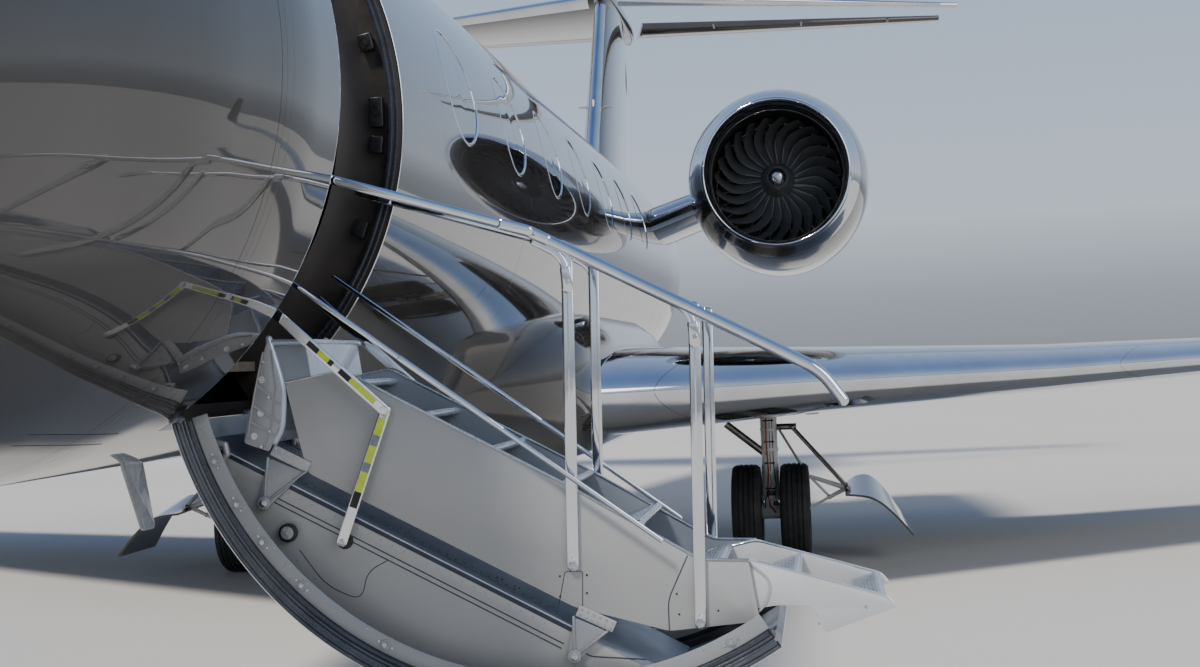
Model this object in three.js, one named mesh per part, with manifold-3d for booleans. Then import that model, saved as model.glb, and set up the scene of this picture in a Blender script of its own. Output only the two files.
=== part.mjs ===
// Business jet parked on its gear with the airstair open.
// Millimetres, +X port, -Y nose, +Z up, ground at z = 0, stations count aft from the nose tip.
import * as THREE from "three";
import { mergeVertices } from "three/addons/utils/BufferGeometryUtils.js";
import Module from "manifold-3d";

const wasm = await Module();
wasm.setup();

// Overall sizes
const NOSE_Y = -14700;
const GAP = 0.3;
const JOINT = 8;
const WALL = 60;
const REAR_WALL = 45;
const HULL_RADIUS = 1385;
const HULL_CENTRE_Z = 2930;
const FLOOR_TOP_Z = 1960;

// Colours and finishes
const FINISH = {
  paint: { color: 0x5d5a5b, roughness: 0.18, metalness: 0.6 },
  bare: { color: 0xc9cdd2, roughness: 0.25, metalness: 1.0 },
  leg: { color: 0xd4d6d6, roughness: 0.4, metalness: 0.3 },
  steel: { color: 0x8d9094, roughness: 0.35, metalness: 0.9 },
  dark: { color: 0x24262a, roughness: 0.6, metalness: 0.2 },
  glass: { color: 0x18222c, roughness: 0.05, metalness: 0.0 },
  trim: { color: 0xcbb79a, roughness: 0.7, metalness: 0.0 },
  tyre: { color: 0x141414, roughness: 0.85, metalness: 0.0 },
};

// Solid helpers
const yAt = (station) => station + NOSE_Y;
const radians = (degrees) => (degrees * Math.PI) / 180;

function manifoldOf(positions, index) {
  return new wasm.Manifold(
    new wasm.Mesh({ numProp: 3, vertProperties: positions, triVerts: index }),
  );
}

function solid(geometry) {
  const plain = geometry.clone();
  plain.deleteAttribute("normal");
  plain.deleteAttribute("uv");
  const merged = mergeVertices(plain, 1e-3);
  const corners = merged.index.array;
  const kept = [];
  for (let i = 0; i < corners.length; i += 3) {
    const [a, b, c] = [corners[i], corners[i + 1], corners[i + 2]];
    if (a !== b && b !== c && c !== a) {
      kept.push(a, b, c);
    }
  }
  const points = new Float32Array(merged.attributes.position.array);
  const made = manifoldOf(points, new Uint32Array(kept));
  if (made.volume() > 0) {
    return made;
  }
  return manifoldOf(points, new Uint32Array(kept.reverse()));
}

function geometryOf(body) {
  const mesh = body.getMesh();
  const count = mesh.vertProperties.length / mesh.numProp;
  const points = new Float32Array(count * 3);
  for (let i = 0; i < count; i += 1) {
    points.set(mesh.vertProperties.subarray(i * mesh.numProp, i * mesh.numProp + 3), i * 3);
  }
  const geometry = new THREE.BufferGeometry();
  geometry.setAttribute("position", new THREE.BufferAttribute(points, 3));
  geometry.setIndex(new THREE.BufferAttribute(new Uint32Array(mesh.triVerts), 1));
  geometry.computeVertexNormals();
  return geometry;
}

const join = (...bodies) => bodies.reduce((sum, body) => sum.add(body));
const mirrored = (body) => body.mirror([1, 0, 0]);

function box(x0, x1, y0, y1, z0, z1) {
  const geometry = new THREE.BoxGeometry(x1 - x0, y1 - y0, z1 - z0);
  geometry.translate((x0 + x1) / 2, (y0 + y1) / 2, (z0 + z1) / 2);
  return solid(geometry);
}

function extruded(points, depth, matrix) {
  const shape = new THREE.Shape(points.map(([u, v]) => new THREE.Vector2(u, v)));
  const geometry = new THREE.ExtrudeGeometry(shape, { depth, bevelEnabled: false });
  geometry.applyMatrix4(matrix);
  return solid(geometry);
}

const basis = (u, v, w) => new THREE.Matrix4().makeBasis(u, v, w);
const AXIS_X = new THREE.Vector3(1, 0, 0);
const AXIS_Y = new THREE.Vector3(0, 1, 0);
const AXIS_Z = new THREE.Vector3(0, 0, 1);

// Outline in the plane across the aircraft (x, z), thick from y0 to y1
function crossPlate(points, y0, y1) {
  const matrix = basis(AXIS_X, AXIS_Z, AXIS_Y.clone().negate());
  return extruded(points, y1 - y0, matrix.setPosition(0, y1, 0));
}

// Outline in the side view (y, z), thick from x0 to x1
function sidePlate(points, x0, x1) {
  return extruded(points, x1 - x0, basis(AXIS_Y, AXIS_Z, AXIS_X).setPosition(x0, 0, 0));
}

// Outline in the plan view (x, y), thick from z0 to z1
function planPlate(points, z0, z1) {
  return extruded(points, z1 - z0, basis(AXIS_X, AXIS_Y, AXIS_Z).setPosition(0, 0, z0));
}

function rod(from, to, radius, sides = 12) {
  const a = new THREE.Vector3(...from);
  const b = new THREE.Vector3(...to);
  const axis = b.clone().sub(a);
  const geometry = new THREE.CylinderGeometry(radius, radius, axis.length(), sides);
  const turn = new THREE.Quaternion().setFromUnitVectors(AXIS_Y, axis.clone().normalize());
  geometry.applyQuaternion(turn);
  geometry.translate(...a.add(b).divideScalar(2).toArray());
  return solid(geometry);
}

function rodChain(points, radius, sides = 8) {
  const parts = [];
  points.slice(1).forEach((to, i) => {
    parts.push(rod(points[i], to, radius, sides));
    if (i > 0) {
      const knuckle = new THREE.IcosahedronGeometry(radius * 1.12, 1);
      knuckle.translate(...points[i]);
      parts.push(solid(knuckle));
    }
  });
  return join(...parts);
}

// Profile of [radius, distance] pairs turned about the fore-aft line through (x, z)
function turnedAlongY(profile, x, z, sides = 32) {
  const points = profile.map(([radius, y]) => new THREE.Vector2(radius, y));
  const geometry = new THREE.LatheGeometry(points, sides);
  geometry.translate(x, 0, z);
  return solid(geometry);
}

// The same about the cross line through (y, z)
function turnedAlongX(profile, y, z, sides = 28) {
  const points = profile.map(([radius, x]) => new THREE.Vector2(radius, -x));
  const geometry = new THREE.LatheGeometry(points, sides);
  geometry.rotateZ(Math.PI / 2);
  geometry.translate(0, y, z);
  return solid(geometry);
}

// Skin through rings of equal length, closed by a fan at each end
function loft(rings) {
  const count = rings[0].length;
  const points = rings.flat();
  const faces = [];
  for (let i = 0; i + 1 < rings.length; i += 1) {
    for (let k = 0; k < count; k += 1) {
      const a = i * count + k;
      const b = i * count + ((k + 1) % count);
      faces.push(a, b, b + count, a, b + count, a + count);
    }
  }
  [0, rings.length - 1].forEach((i) => {
    const centre = points.length;
    const sum = rings[i].reduce((s, p) => s.map((v, n) => v + p[n] / count), [0, 0, 0]);
    points.push(sum);
    for (let k = 0; k < count; k += 1) {
      const [a, b] = [i * count + k, i * count + ((k + 1) % count)];
      faces.push(...(i === 0 ? [centre, b, a] : [centre, a, b]));
    }
  });
  const geometry = new THREE.BufferGeometry();
  geometry.setAttribute("position", new THREE.Float32BufferAttribute(points.flat(), 3));
  geometry.setIndex(faces);
  return solid(geometry);
}

const group = new THREE.Group();
group.name = "business_jet";

function piece(name, body, finish) {
  const mesh = new THREE.Mesh(geometryOf(body), new THREE.MeshStandardMaterial(FINISH[finish]));
  mesh.name = name;
  group.add(mesh);
}

// Fuselage sections
const HULL_SIDES = 28;
const HULL_ROWS = [
  { station: 0, half: 30, top: 2450, bottom: 2390 },
  { station: 250, half: 260, top: 2680, bottom: 2200 },
  { station: 700, half: 470, top: 2890, bottom: 2030 },
  { station: 1300, half: 670, top: 3110, bottom: 1885 },
  { station: 2100, half: 880, top: 3380, bottom: 1765 },
  { station: 2700, half: 1060, top: 3790, bottom: 1680 },
  { station: 3300, half: 1195, top: 4110, bottom: 1620 },
  { station: 4000, half: 1325, top: 4270, bottom: 1570 },
  { station: 4600, half: 1385, top: 4315, bottom: 1545 },
  { station: 18500, half: 1385, top: 4315, bottom: 1545 },
  { station: 20300, half: 1350, top: 4310, bottom: 1620 },
  { station: 22200, half: 1230, top: 4290, bottom: 1890 },
  { station: 24200, half: 1015, top: 4250, bottom: 2310 },
  { station: 26000, half: 745, top: 4180, bottom: 2760 },
  { station: 27500, half: 460, top: 4090, bottom: 3200 },
  { station: 28600, half: 235, top: 4010, bottom: 3540 },
];
const HOLLOW_START = 250;

function hullRing({ station, half, top, bottom }, inset) {
  const ring = [];
  for (let k = 0; k < HULL_SIDES; k += 1) {
    const turn = (2 * Math.PI * (k + 0.5)) / HULL_SIDES;
    const x = -(half - inset) * Math.sin(turn);
    const z = (top + bottom) / 2 + ((top - bottom) / 2 - inset) * Math.cos(turn);
    ring.push([x, yAt(station), z]);
  }
  return ring;
}

const hullSolid = (inset) => loft(HULL_ROWS.map((row) => hullRing(row, inset)));

function hollowSolid(inset) {
  const rows = HULL_ROWS.filter((row) => row.station >= HOLLOW_START);
  const last = { ...rows.at(-1), station: rows.at(-1).station + 200 };
  return loft([...rows, last].map((row) => hullRing(row, inset)));
}

const hull = hullSolid(0);
const hullGrown = hullSolid(-GAP);
const cavity = hollowSolid(WALL);
const rearCavity = hollowSolid(REAR_WALL);
const lining = hollowSolid(WALL + GAP);
const between = (from, to) => box(-3000, 3000, yAt(from), yAt(to), 0, 9000);

// Doorway of the airstair, a sector of the round cabin wall
const DOORWAY = { from: 4850, to: 5800, low: -58.1, high: 51 };

function sectorPoints(centre, low, high, radius, steps) {
  const points = [];
  for (let k = 0; k <= steps; k += 1) {
    const angle = radians(low + ((high - low) * k) / steps);
    points.push([centre[0] + radius * Math.cos(angle), centre[1] + radius * Math.sin(angle)]);
  }
  return points;
}

function doorwayCut() {
  const centre = [0, HULL_CENTRE_Z];
  const { from, to, low, high } = DOORWAY;
  const outline = [centre, ...sectorPoints(centre, low, high, HULL_RADIUS + 400, 8)];
  return crossPlate(outline, yAt(from), yAt(to));
}

// Oval cabin windows
const WINDOW = { first: 7150, pitch: 1450, count: 7, z: 3230, halfLong: 355, halfHigh: 278 };
const WINDOW_SIDES = 12;

function ovalPlug(station, grow) {
  const points = [];
  for (let k = 0; k < WINDOW_SIDES; k += 1) {
    const turn = (2 * Math.PI * k) / WINDOW_SIDES;
    const y = yAt(station) + (WINDOW.halfLong + grow) * Math.cos(turn);
    points.push([y, WINDOW.z + (WINDOW.halfHigh + grow) * Math.sin(turn)]);
  }
  return sidePlate(points, 1000, 1500);
}

function cabinWindows(grow) {
  const plugs = [];
  for (let i = 0; i < WINDOW.count; i += 1) {
    plugs.push(ovalPlug(WINDOW.first + i * WINDOW.pitch, grow));
  }
  return join(...plugs);
}

// Windscreen panes, three a side: one seen from above and two from the side
const FRONT_PANE = [[40, 2150], [620, 2450], [600, 3180], [40, 3050]];
const SIDE_PANES = [
  [[2600, 3330], [2640, 3430], [3250, 3800], [3430, 3780], [3430, 3330]],
  [[3500, 3330], [3500, 3770], [3800, 3690], [3950, 3420], [3900, 3330]],
];
const PANE_EDGE = 3;
const GLASS_SINK = 8;

function grown(points, distance) {
  const centre = points.reduce((s, p) => [s[0] + p[0] / points.length, s[1] + p[1] / points.length], [0, 0]);
  return points.map(([u, v]) => {
    const reach = Math.hypot(u - centre[0], v - centre[1]);
    const scale = 1 + distance / reach;
    return [centre[0] + (u - centre[0]) * scale, centre[1] + (v - centre[1]) * scale];
  });
}

function windscreenPanes(grow) {
  const front = grown(FRONT_PANE, grow).map(([x, station]) => [x, yAt(station)]);
  const parts = [planPlate(front, 3000, 4300)];
  SIDE_PANES.forEach((pane) => {
    const outline = grown(pane, grow).map(([station, z]) => [yAt(station), z]);
    parts.push(sidePlate(outline, 650, 1500));
  });
  const port = join(...parts);
  return port.add(mirrored(port));
}

// Blade antenna under the forward cabin
const BLADE = [[6180, 1600], [6200, 1320], [6260, 1240], [6400, 1250], [6480, 1600]];

const SECTIONS = [
  { name: "nose_radome", from: 0, to: 1300 },
  { name: "cockpit_shell", from: 1300, to: 4300 },
  { name: "forward_cabin_shell", from: 4300, to: 6600 },
  { name: "cabin_shell", from: 6600, to: 18500 },
  { name: "rear_fuselage", from: 18500, to: 28600 },
];

// Front bulkhead with the equipment rack ahead of it
const RACK = { from: 1400, to: 2160, half: 520, low: 2010, high: 2800, bulkhead: 50 };

function equipmentRack() {
  const rack = box(-RACK.half, RACK.half, yAt(RACK.from), yAt(RACK.to), RACK.low, RACK.high);
  const bulkhead = between(RACK.to - RACK.bulkhead, RACK.to);
  const passage = box(-150, 150, yAt(RACK.to - 200), yAt(RACK.to + 200), RACK.high + 30, RACK.high + 230);
  return rack.add(bulkhead).intersect(hullSolid(WALL / 2)).subtract(passage);
}

function hullSection({ name, from, to }) {
  const inside = name === "rear_fuselage" ? rearCavity : cavity;
  const whole = hull.intersect(between(from + GAP / 2, to - GAP / 2)).subtract(inside);
  if (name === "cockpit_shell") {
    return whole.add(equipmentRack()).subtract(windscreenPanes(PANE_EDGE)).subtract(glassSpace());
  }
  if (name === "forward_cabin_shell") {
    const outline = BLADE.map(([station, z]) => [yAt(station), z]);
    const blade = sidePlate(outline, -9, 9).subtract(cavity);
    return join(whole.subtract(doorwayCut()).subtract(hingeGrooves()), blade, ...jambPins());
  }
  if (name === "cabin_shell") {
    const plugs = cabinWindows(1);
    return whole.subtract(plugs).subtract(mirrored(plugs));
  }
  return whole;
}

// Glass seated behind the skin, with a plug in each opening
const GLASS_THICK = 14;

function cabinGlass() {
  const { first, pitch, count, z, halfLong, halfHigh } = WINDOW;
  const last = first + (count - 1) * pitch;
  const edge = 40;
  const band = box(900, 1500, yAt(first - halfLong - edge), yAt(last + halfLong + edge),
    z - halfHigh - edge, z + halfHigh + edge);
  const inside = hollowSolid(WALL + GAP + GLASS_THICK);
  const strip = lining.subtract(inside).intersect(band);
  const plugs = hollowSolid(GLASS_SINK).subtract(inside).intersect(cabinWindows(0));
  return strip.add(plugs);
}

// Room behind the windscreen for its glass
function glassSpace() {
  return box(-1500, 1500, yAt(2080), yAt(4030), 3250, 4310).intersect(cavity);
}

function windscreenGlass() {
  const inside = hollowSolid(WALL + GAP + GLASS_THICK);
  const zone = box(-1500, 1500, yAt(2090), yAt(4020), 3260, 4300);
  const crown = box(-520, 520, yAt(3260), yAt(4100), 3300, 4400);
  const strip = lining.subtract(inside).intersect(zone).subtract(crown);
  const plugs = hollowSolid(GLASS_SINK).subtract(inside).intersect(windscreenPanes(0));
  return strip.add(plugs);
}

const portGlass = cabinGlass();
piece("cabin_glass_port", portGlass, "glass");
piece("cabin_glass_starboard", mirrored(portGlass), "glass");
piece("windshield_glass", windscreenGlass(), "glass");

// Cabin floor and furniture
const FLOOR = { from: 2350, to: 18400, thick: 40, doorEdge: 775 };

function cabinFloor() {
  const plate = box(-1400, 1400, yAt(FLOOR.from), yAt(FLOOR.to), FLOOR_TOP_Z - FLOOR.thick, FLOOR_TOP_Z);
  const clearance = box(FLOOR.doorEdge, 1500, yAt(DOORWAY.from - 60), yAt(DOORWAY.to + 60), 1800, 2100);
  return plate.intersect(lining).subtract(clearance);
}
piece("cabin_floor", cabinFloor(), "trim");

const SEAT_ROWS = [
  { station: 3450, x: 430 },
  { station: 7900, x: 720 },
  { station: 9700, x: 720 },
  { station: 12300, x: 720 },
  { station: 14100, x: 720 },
];

function seat(station, x) {
  const y = yAt(station);
  const base = FLOOR_TOP_Z + 10;
  const cushion = box(x - 280, x + 280, y - 300, y + 300, base + 220, base + 450);
  const foot = box(x - 150, x + 150, y - 200, y + 200, base, base + 230);
  const back = box(x - 270, x + 270, y + 200, y + 340, base + 300, base + 1000);
  return join(cushion, foot, back);
}

function cabinFurniture() {
  const low = FLOOR_TOP_Z + GAP;
  const parts = [];
  SEAT_ROWS.forEach(({ station, x }) => {
    parts.push(seat(station, x), seat(station, -x));
    parts.push(box(-x, x, yAt(station) - 60, yAt(station) + 60, low, low + 12));
  });
  const aisle = box(-60, 60, yAt(2700), yAt(14200), low, low + 12);
  const closet = box(-1400, -520, yAt(4650), yAt(6500), low, 3900);
  const closetFoot = box(-700, 0, yAt(5500), yAt(5620), low, low + 12);
  const panel = box(-900, 900, yAt(2480), yAt(2640), 2600, 3180);
  const pedestal = box(-150, 150, yAt(2600), yAt(3200), low, 2640);
  const body = join(...parts, aisle, closet, closetFoot, panel, pedestal);
  return body.intersect(hollowSolid(WALL + GAP + GLASS_THICK + 10));
}
piece("cabin_furniture", cabinFurniture(), "trim");

// Wing and tail sections, swept airfoils between two ends
const FOIL_STEPS = 8;
const FOIL_TERMS = [0.2969, -0.126, -0.3516, 0.2843, -0.1015];
const EDGE_HALF = 4;

function foilHalf(t) {
  const [a, b, c, d, e] = FOIL_TERMS;
  return 5 * (a * Math.sqrt(t) + b * t + c * t ** 2 + d * t ** 3 + e * t ** 4);
}

function foilRing({ x, lead, chord, thick, z, lean = 0 }, { from = 0, to = 1, grow = 0 }) {
  const across = [-Math.sin(radians(lean)), Math.cos(radians(lean))];
  const upper = [];
  const lower = [];
  for (let k = 0; k < FOIL_STEPS; k += 1) {
    const t = from + (to - from) * (1 - Math.cos((Math.PI * (k + 0.25)) / (2 * FOIL_STEPS - 1.5)));
    const half = Math.max(thick * foilHalf(t), EDGE_HALF) + grow;
    const y = yAt(lead + chord * t) + (t < 0.5 ? -grow : grow);
    upper.push([x + half * across[0], y, z + half * across[1]]);
    lower.push([x - half * across[0], y, z - half * across[1]]);
  }
  return [...upper, ...lower.reverse()];
}

const foilSolid = (rows, span = {}) => loft(rows.map((row) => foilRing(row, span)));

// Row at one place of a table, in between the two rows beside it
function rowAt(rows, key, value) {
  const i = Math.max(1, rows.findIndex((row) => row[key] >= value));
  const [a, b] = [rows[i - 1], rows[i]];
  const part = (value - a[key]) / (b[key] - a[key]);
  const made = {};
  Object.keys({ ...a, ...b }).forEach((name) => {
    made[name] = (a[name] ?? 0) + part * ((b[name] ?? 0) - (a[name] ?? 0));
  });
  return made;
}

// Hinged surface at the back of a foil: round nose in a cove, pins at its ends
const COVE_GAP = 8;
const END_GAP = 14;
const FOOT_GAP = 34;
const PIN_RADIUS = 12;
const NOSE_STEPS = 7;

function hingedSurface(rows, key, ends, fraction, levelFoot = false) {
  const hinge = (row) => new THREE.Vector3(row.x, yAt(row.lead + row.chord * fraction), row.z);
  const trailing = (row) => new THREE.Vector3(row.x, yAt(row.lead + row.chord), row.z);
  const [first, last] = ends.map((value) => rowAt(rows, key, value));
  const [a, b] = [hinge(first), hinge(last)];
  const [ta, tb] = [trailing(first), trailing(last)];
  const axis = b.clone().sub(a).normalize();
  const aft = ta.clone().sub(a);
  aft.addScaledVector(axis, -aft.dot(axis)).normalize();
  const out = axis.clone().cross(aft);
  const edge = tb.clone().sub(ta);

  function ring(place, radius, margin, tail, level = false) {
    const s = place.clone().sub(ta).dot(axis) / edge.dot(axis);
    const end = ta.clone().addScaledVector(edge, s).addScaledVector(aft, margin);
    const points = [];
    for (let k = 0; k < NOSE_STEPS; k += 1) {
      const turn = -Math.PI / 2 + (Math.PI * k) / (NOSE_STEPS - 1);
      const p = place.clone().addScaledVector(aft, -radius * Math.cos(turn));
      points.push(p.addScaledVector(out, radius * Math.sin(turn)));
    }
    [tail, -tail].forEach((half) => points.push(end.clone().addScaledVector(out, half)));
    if (level) points.forEach((p) => p.addScaledVector(axis, (place.z - p.z) / axis.z));
    return points.map((p) => p.toArray());
  }

  const [ra, rb] = [first, last].map((row) => row.thick * foilHalf(fraction));
  const shifted = (place, by) => place.clone().addScaledVector(axis, by);
  const footGap = levelFoot ? FOOT_GAP : END_GAP;
  const panel = loft([ring(a, ra, 0, EDGE_HALF, levelFoot), ring(b, rb, 0, EDGE_HALF)]);
  const cove = loft([
    ring(shifted(a, -footGap), ra + COVE_GAP, 200, ra + COVE_GAP, levelFoot),
    ring(shifted(b, END_GAP), rb + COVE_GAP, 200, rb + COVE_GAP),
  ]);
  const pin = (extra, radius) => rod(shifted(a, -footGap - extra).toArray(),
    shifted(b, END_GAP + extra).toArray(), radius);
  return { surface: panel.add(pin(24, PIN_RADIUS)), cut: cove.add(pin(26, PIN_RADIUS + 1)) };
}

// Wing with winglet
const WING_SWEEP = 0.767;
const WING_SKIN = 24;
const AILERON = { inner: 9900, outer: 13200, fraction: 0.74 };
const WING_ROWS = [
  { x: 1100, lead: 11585, chord: 6303, thick: 734, z: 1668 },
  { x: 3000, lead: 11700 + 1750 * WING_SWEEP, chord: 5000, thick: 560, z: 1690 },
  { x: 5000, lead: 11700 + 3750 * WING_SWEEP, chord: 3950, thick: 430, z: 1705 },
  { x: 9800, lead: 11700 + 8550 * WING_SWEEP, chord: 2480, thick: 240, z: 1820 },
  { x: 13300, lead: 11700 + 12050 * WING_SWEEP, chord: 1440, thick: 140, z: 1960 },
  { x: 13900, lead: 11700 + 12650 * WING_SWEEP, chord: 1280, thick: 125, z: 1990 },
  { x: 14130, lead: 21640, chord: 1150, thick: 105, z: 2060, lean: 35 },
  { x: 14250, lead: 21900, chord: 1030, thick: 95, z: 2240, lean: 70 },
  { x: 14440, lead: 22950, chord: 480, thick: 45, z: 3400, lean: 80 },
];
const HOLLOW_SPAN = { from: 0.05, to: 0.62 };

function wingHollow() {
  const rows = [1030, 3000, 5000, 9800, 12900].map((x) => rowAt(WING_ROWS, "x", x));
  return foilSolid(rows, { ...HOLLOW_SPAN, grow: -WING_SKIN });
}

// Jacking pads, flat bosses with their faces down
const JACK_PAD = { radius: 60, sides: 8, deep: 24, sunk: 14 };
const jackPad = (x, station, skinZ) => rod([x, yAt(station), skinZ - JACK_PAD.deep],
  [x, yAt(station), skinZ + JACK_PAD.sunk], JACK_PAD.radius, JACK_PAD.sides);
const WING_PAD = { x: 2900, station: 14600, skinZ: 1409 };

const aileron = hingedSurface(WING_ROWS, "x", [AILERON.inner, AILERON.outer], AILERON.fraction);
const portWing = foilSolid(WING_ROWS).subtract(wingHollow()).subtract(aileron.cut)
  .add(jackPad(WING_PAD.x, WING_PAD.station, WING_PAD.skinZ));
const wingGrown = foilSolid(WING_ROWS, { grow: GAP });
piece("wing_port", portWing, "paint");
piece("wing_starboard", mirrored(portWing), "paint");
piece("aileron_port", aileron.surface, "paint");
piece("aileron_starboard", mirrored(aileron.surface), "paint");

// Belly fairing around the wing roots
const FAIRING_ROWS = [
  { station: 10300, half: 560, top: 1900, bottom: 1560 },
  { station: 11000, half: 1120, top: 2200, bottom: 1380 },
  { station: 11700, half: 1340, top: 2400, bottom: 1230 },
  { station: 13000, half: 1420, top: 2500, bottom: 1110 },
  { station: 16000, half: 1420, top: 2500, bottom: 1110 },
  { station: 17200, half: 1400, top: 2440, bottom: 1190 },
  { station: 18200, half: 1180, top: 2200, bottom: 1390 },
  { station: 18900, half: 600, top: 1900, bottom: 1570 },
];
const FAIRING_SQUARE = { above: 0.72, below: 0.5 };
const FAIRING_SHELL = 110;

function fairingRing({ station, half, top, bottom }, inset) {
  const ring = [];
  const soft = (value, power) => Math.sign(value) * Math.abs(value) ** power;
  for (let k = 0; k < 24; k += 1) {
    const turn = (2 * Math.PI * (k + 0.5)) / 24;
    const power = Math.cos(turn) > 0 ? FAIRING_SQUARE.above : FAIRING_SQUARE.below;
    const x = -(half - inset) * soft(Math.sin(turn), power);
    const z = (top + bottom) / 2 + ((top - bottom) / 2 - inset) * soft(Math.cos(turn), power);
    ring.push([x, yAt(station), z]);
  }
  return ring;
}

function bellyFairing() {
  const outer = loft(FAIRING_ROWS.map((row) => fairingRing(row, 0)));
  const inner = loft(FAIRING_ROWS.slice(1, -1).map((row) => fairingRing(row, FAIRING_SHELL)));
  return outer.subtract(inner).subtract(hullGrown).subtract(wingGrown).subtract(mirrored(wingGrown));
}
piece("belly_fairing", bellyFairing(), "paint");

// Fin and rudder
const FIN_ROWS = [
  { x: 0, z: 3850, lead: 22405, chord: 4830, thick: 470, lean: -90 },
  { x: 0, z: 7220, lead: 24890, chord: 3770, thick: 310, lean: -90 },
];
const RUDDER = { low: 4480, high: 6700, fraction: 0.72 };
const FIN_SKIN = 16;

const rudder = hingedSurface(FIN_ROWS, "z", [RUDDER.low, RUDDER.high], RUDDER.fraction, true);
function finBody() {
  const inner = [3700, 6900].map((z) => rowAt(FIN_ROWS, "z", z));
  const hollow = foilSolid(inner, { ...HOLLOW_SPAN, grow: -FIN_SKIN });
  return foilSolid(FIN_ROWS).subtract(hollow).subtract(rudder.cut).subtract(hullGrown);
}

// Tailplane with its bullet and elevators
const TAIL_Z = 7300;
const TAIL_ROWS = [
  { x: 0, lead: 25100, chord: 3800, thick: 360, z: TAIL_Z },
  { x: 5400, lead: 27860, chord: 1540, thick: 130, z: TAIL_Z + 90 },
];
const ELEVATOR = { inner: 330, outer: 5150, fraction: 0.72 };
const BULLET = [[0, 24750], [70, 24850], [150, 25250], [190, 26200], [190, 27600], [120, 28700], [0, 29100]];

const elevator = hingedSurface(TAIL_ROWS, "x", [ELEVATOR.inner, ELEVATOR.outer], ELEVATOR.fraction);
const bullet = turnedAlongY(BULLET.map(([r, s]) => [r, yAt(s)]), 0, TAIL_Z, 20);
function tailplaneBody() {
  const port = foilSolid(TAIL_ROWS);
  const inner = [0, 5100].map((x) => rowAt(TAIL_ROWS, "x", x));
  const hollow = foilSolid(inner, { ...HOLLOW_SPAN, grow: -25 });
  const both = join(port, mirrored(port), bullet);
  const hatch = box(-60, 60, yAt(26200), yAt(27000), TAIL_Z - 300, TAIL_Z);
  return both.subtract(hollow).subtract(mirrored(hollow)).subtract(hatch)
    .subtract(elevator.cut).subtract(mirrored(elevator.cut));
}
const tailBody = tailplaneBody();
const bulletGrown = turnedAlongY(
  BULLET.map(([r, s]) => [r > 0 ? r + GAP : 0, yAt(s)]), 0, TAIL_Z, 20);
const tailGrown = foilSolid(TAIL_ROWS, { grow: GAP });
const fin = finBody().subtract(bulletGrown).subtract(tailGrown).subtract(mirrored(tailGrown));
piece("fin", fin, "paint");
piece("rudder", rudder.surface, "paint");
piece("tailplane", tailBody, "paint");
piece("elevator_port", elevator.surface, "paint");
piece("elevator_starboard", mirrored(elevator.surface), "paint");

// Engines on their pylons
const ENGINE = { x: 2650, z: 3630, fanStation: 16600, fanRadius: 627, blades: 16 };
const NACELLE_OUTSIDE = [
  [675, 15700], [715, 15760], [790, 15960], [865, 16350], [900, 16900],
  [895, 17700], [850, 18700], [770, 19600], [690, 20300],
];
const NACELLE_INSIDE = [
  [655, 20290], [810, 18700], [860, 16900], [750, 15960], [690, 15850], [683, 16600],
  [735, 18000], [700, 19300], [635, 20120],
];
const DUCT = [
  [615, 20120], [672, 19300], [705, 18000], [643, 16800], [643, 16400], [632, 16000],
  [640, 15780],
];
const NACELLE_SIDES = 20;
const CORE = [
  [0, 16850], [360, 16850], [400, 17500], [410, 18700], [300, 19900], [110, 20500], [0, 20560],
];
const toStations = (profile) => profile.map(([r, station]) => [r, yAt(station)]);
const closed = (profile) => [...profile, profile[0]];

function nacelle() {
  const loop = closed([...NACELLE_OUTSIDE, ...NACELLE_INSIDE, ...DUCT]);
  return turnedAlongY(toStations(loop), ENGINE.x, ENGINE.z, NACELLE_SIDES);
}

function nacelleFilled(grow) {
  const outside = NACELLE_OUTSIDE.map(([r, station]) => [r + grow, station]);
  const filled = toStations([[0, 15700], ...outside, [0, 20300]]);
  return turnedAlongY(filled, ENGINE.x, ENGINE.z, NACELLE_SIDES);
}

function ductFilled() {
  const wall = [...DUCT].reverse().map(([r, station]) => [r - GAP, station]);
  const filled = toStations([[0, 15780], ...wall, [0, 20120]]);
  return turnedAlongY(filled, ENGINE.x, ENGINE.z, NACELLE_SIDES);
}

function aroundEngine(body, turn) {
  return body.rotate([0, turn, 0]).translate([ENGINE.x, 0, ENGINE.z]);
}

function engineCore() {
  const core = turnedAlongY(toStations(CORE), ENGINE.x, ENGINE.z, 24);
  const vane = box(-12, 12, yAt(17150), yAt(17500), 330, 760);
  const vanes = [];
  for (let k = 0; k < 10; k += 1) {
    vanes.push(aroundEngine(vane, k * 36));
  }
  return core.add(join(...vanes).intersect(ductFilled()));
}

function fan() {
  const { x, z, fanStation, fanRadius, blades } = ENGINE;
  const hub = [[0, 16180], [45, 16200], [120, 16290], [215, 16470], [240, 16560], [240, 16740],
    [110, 16760], [110, 16850 - GAP], [0, 16850 - GAP]];
  const body = turnedAlongY(toStations(hub), x, z, 20);
  const blade = box(-7, 7, -110, 110, 200, 660).rotate([0, 0, 38]).translate([0, yAt(fanStation), 0]);
  const disc = [[0, 16400], [fanRadius, 16400], [fanRadius, 16790], [0, 16790]];
  const parts = [];
  for (let k = 0; k < blades; k += 1) {
    parts.push(aroundEngine(blade, (k * 360) / blades));
  }
  return body.add(join(...parts).intersect(turnedAlongY(toStations(disc), x, z, 40)));
}

const PYLON_ROWS = [
  { x: 900, lead: 17050, chord: 3400, thick: 400, z: 3150 },
  { x: 1350, lead: 16850, chord: 3350, thick: 370, z: 3330 },
  { x: 2300, lead: 16700, chord: 3300, thick: 330, z: 3640 },
];
const pylon = foilSolid(PYLON_ROWS).subtract(hullGrown).subtract(nacelleFilled(GAP));

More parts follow.
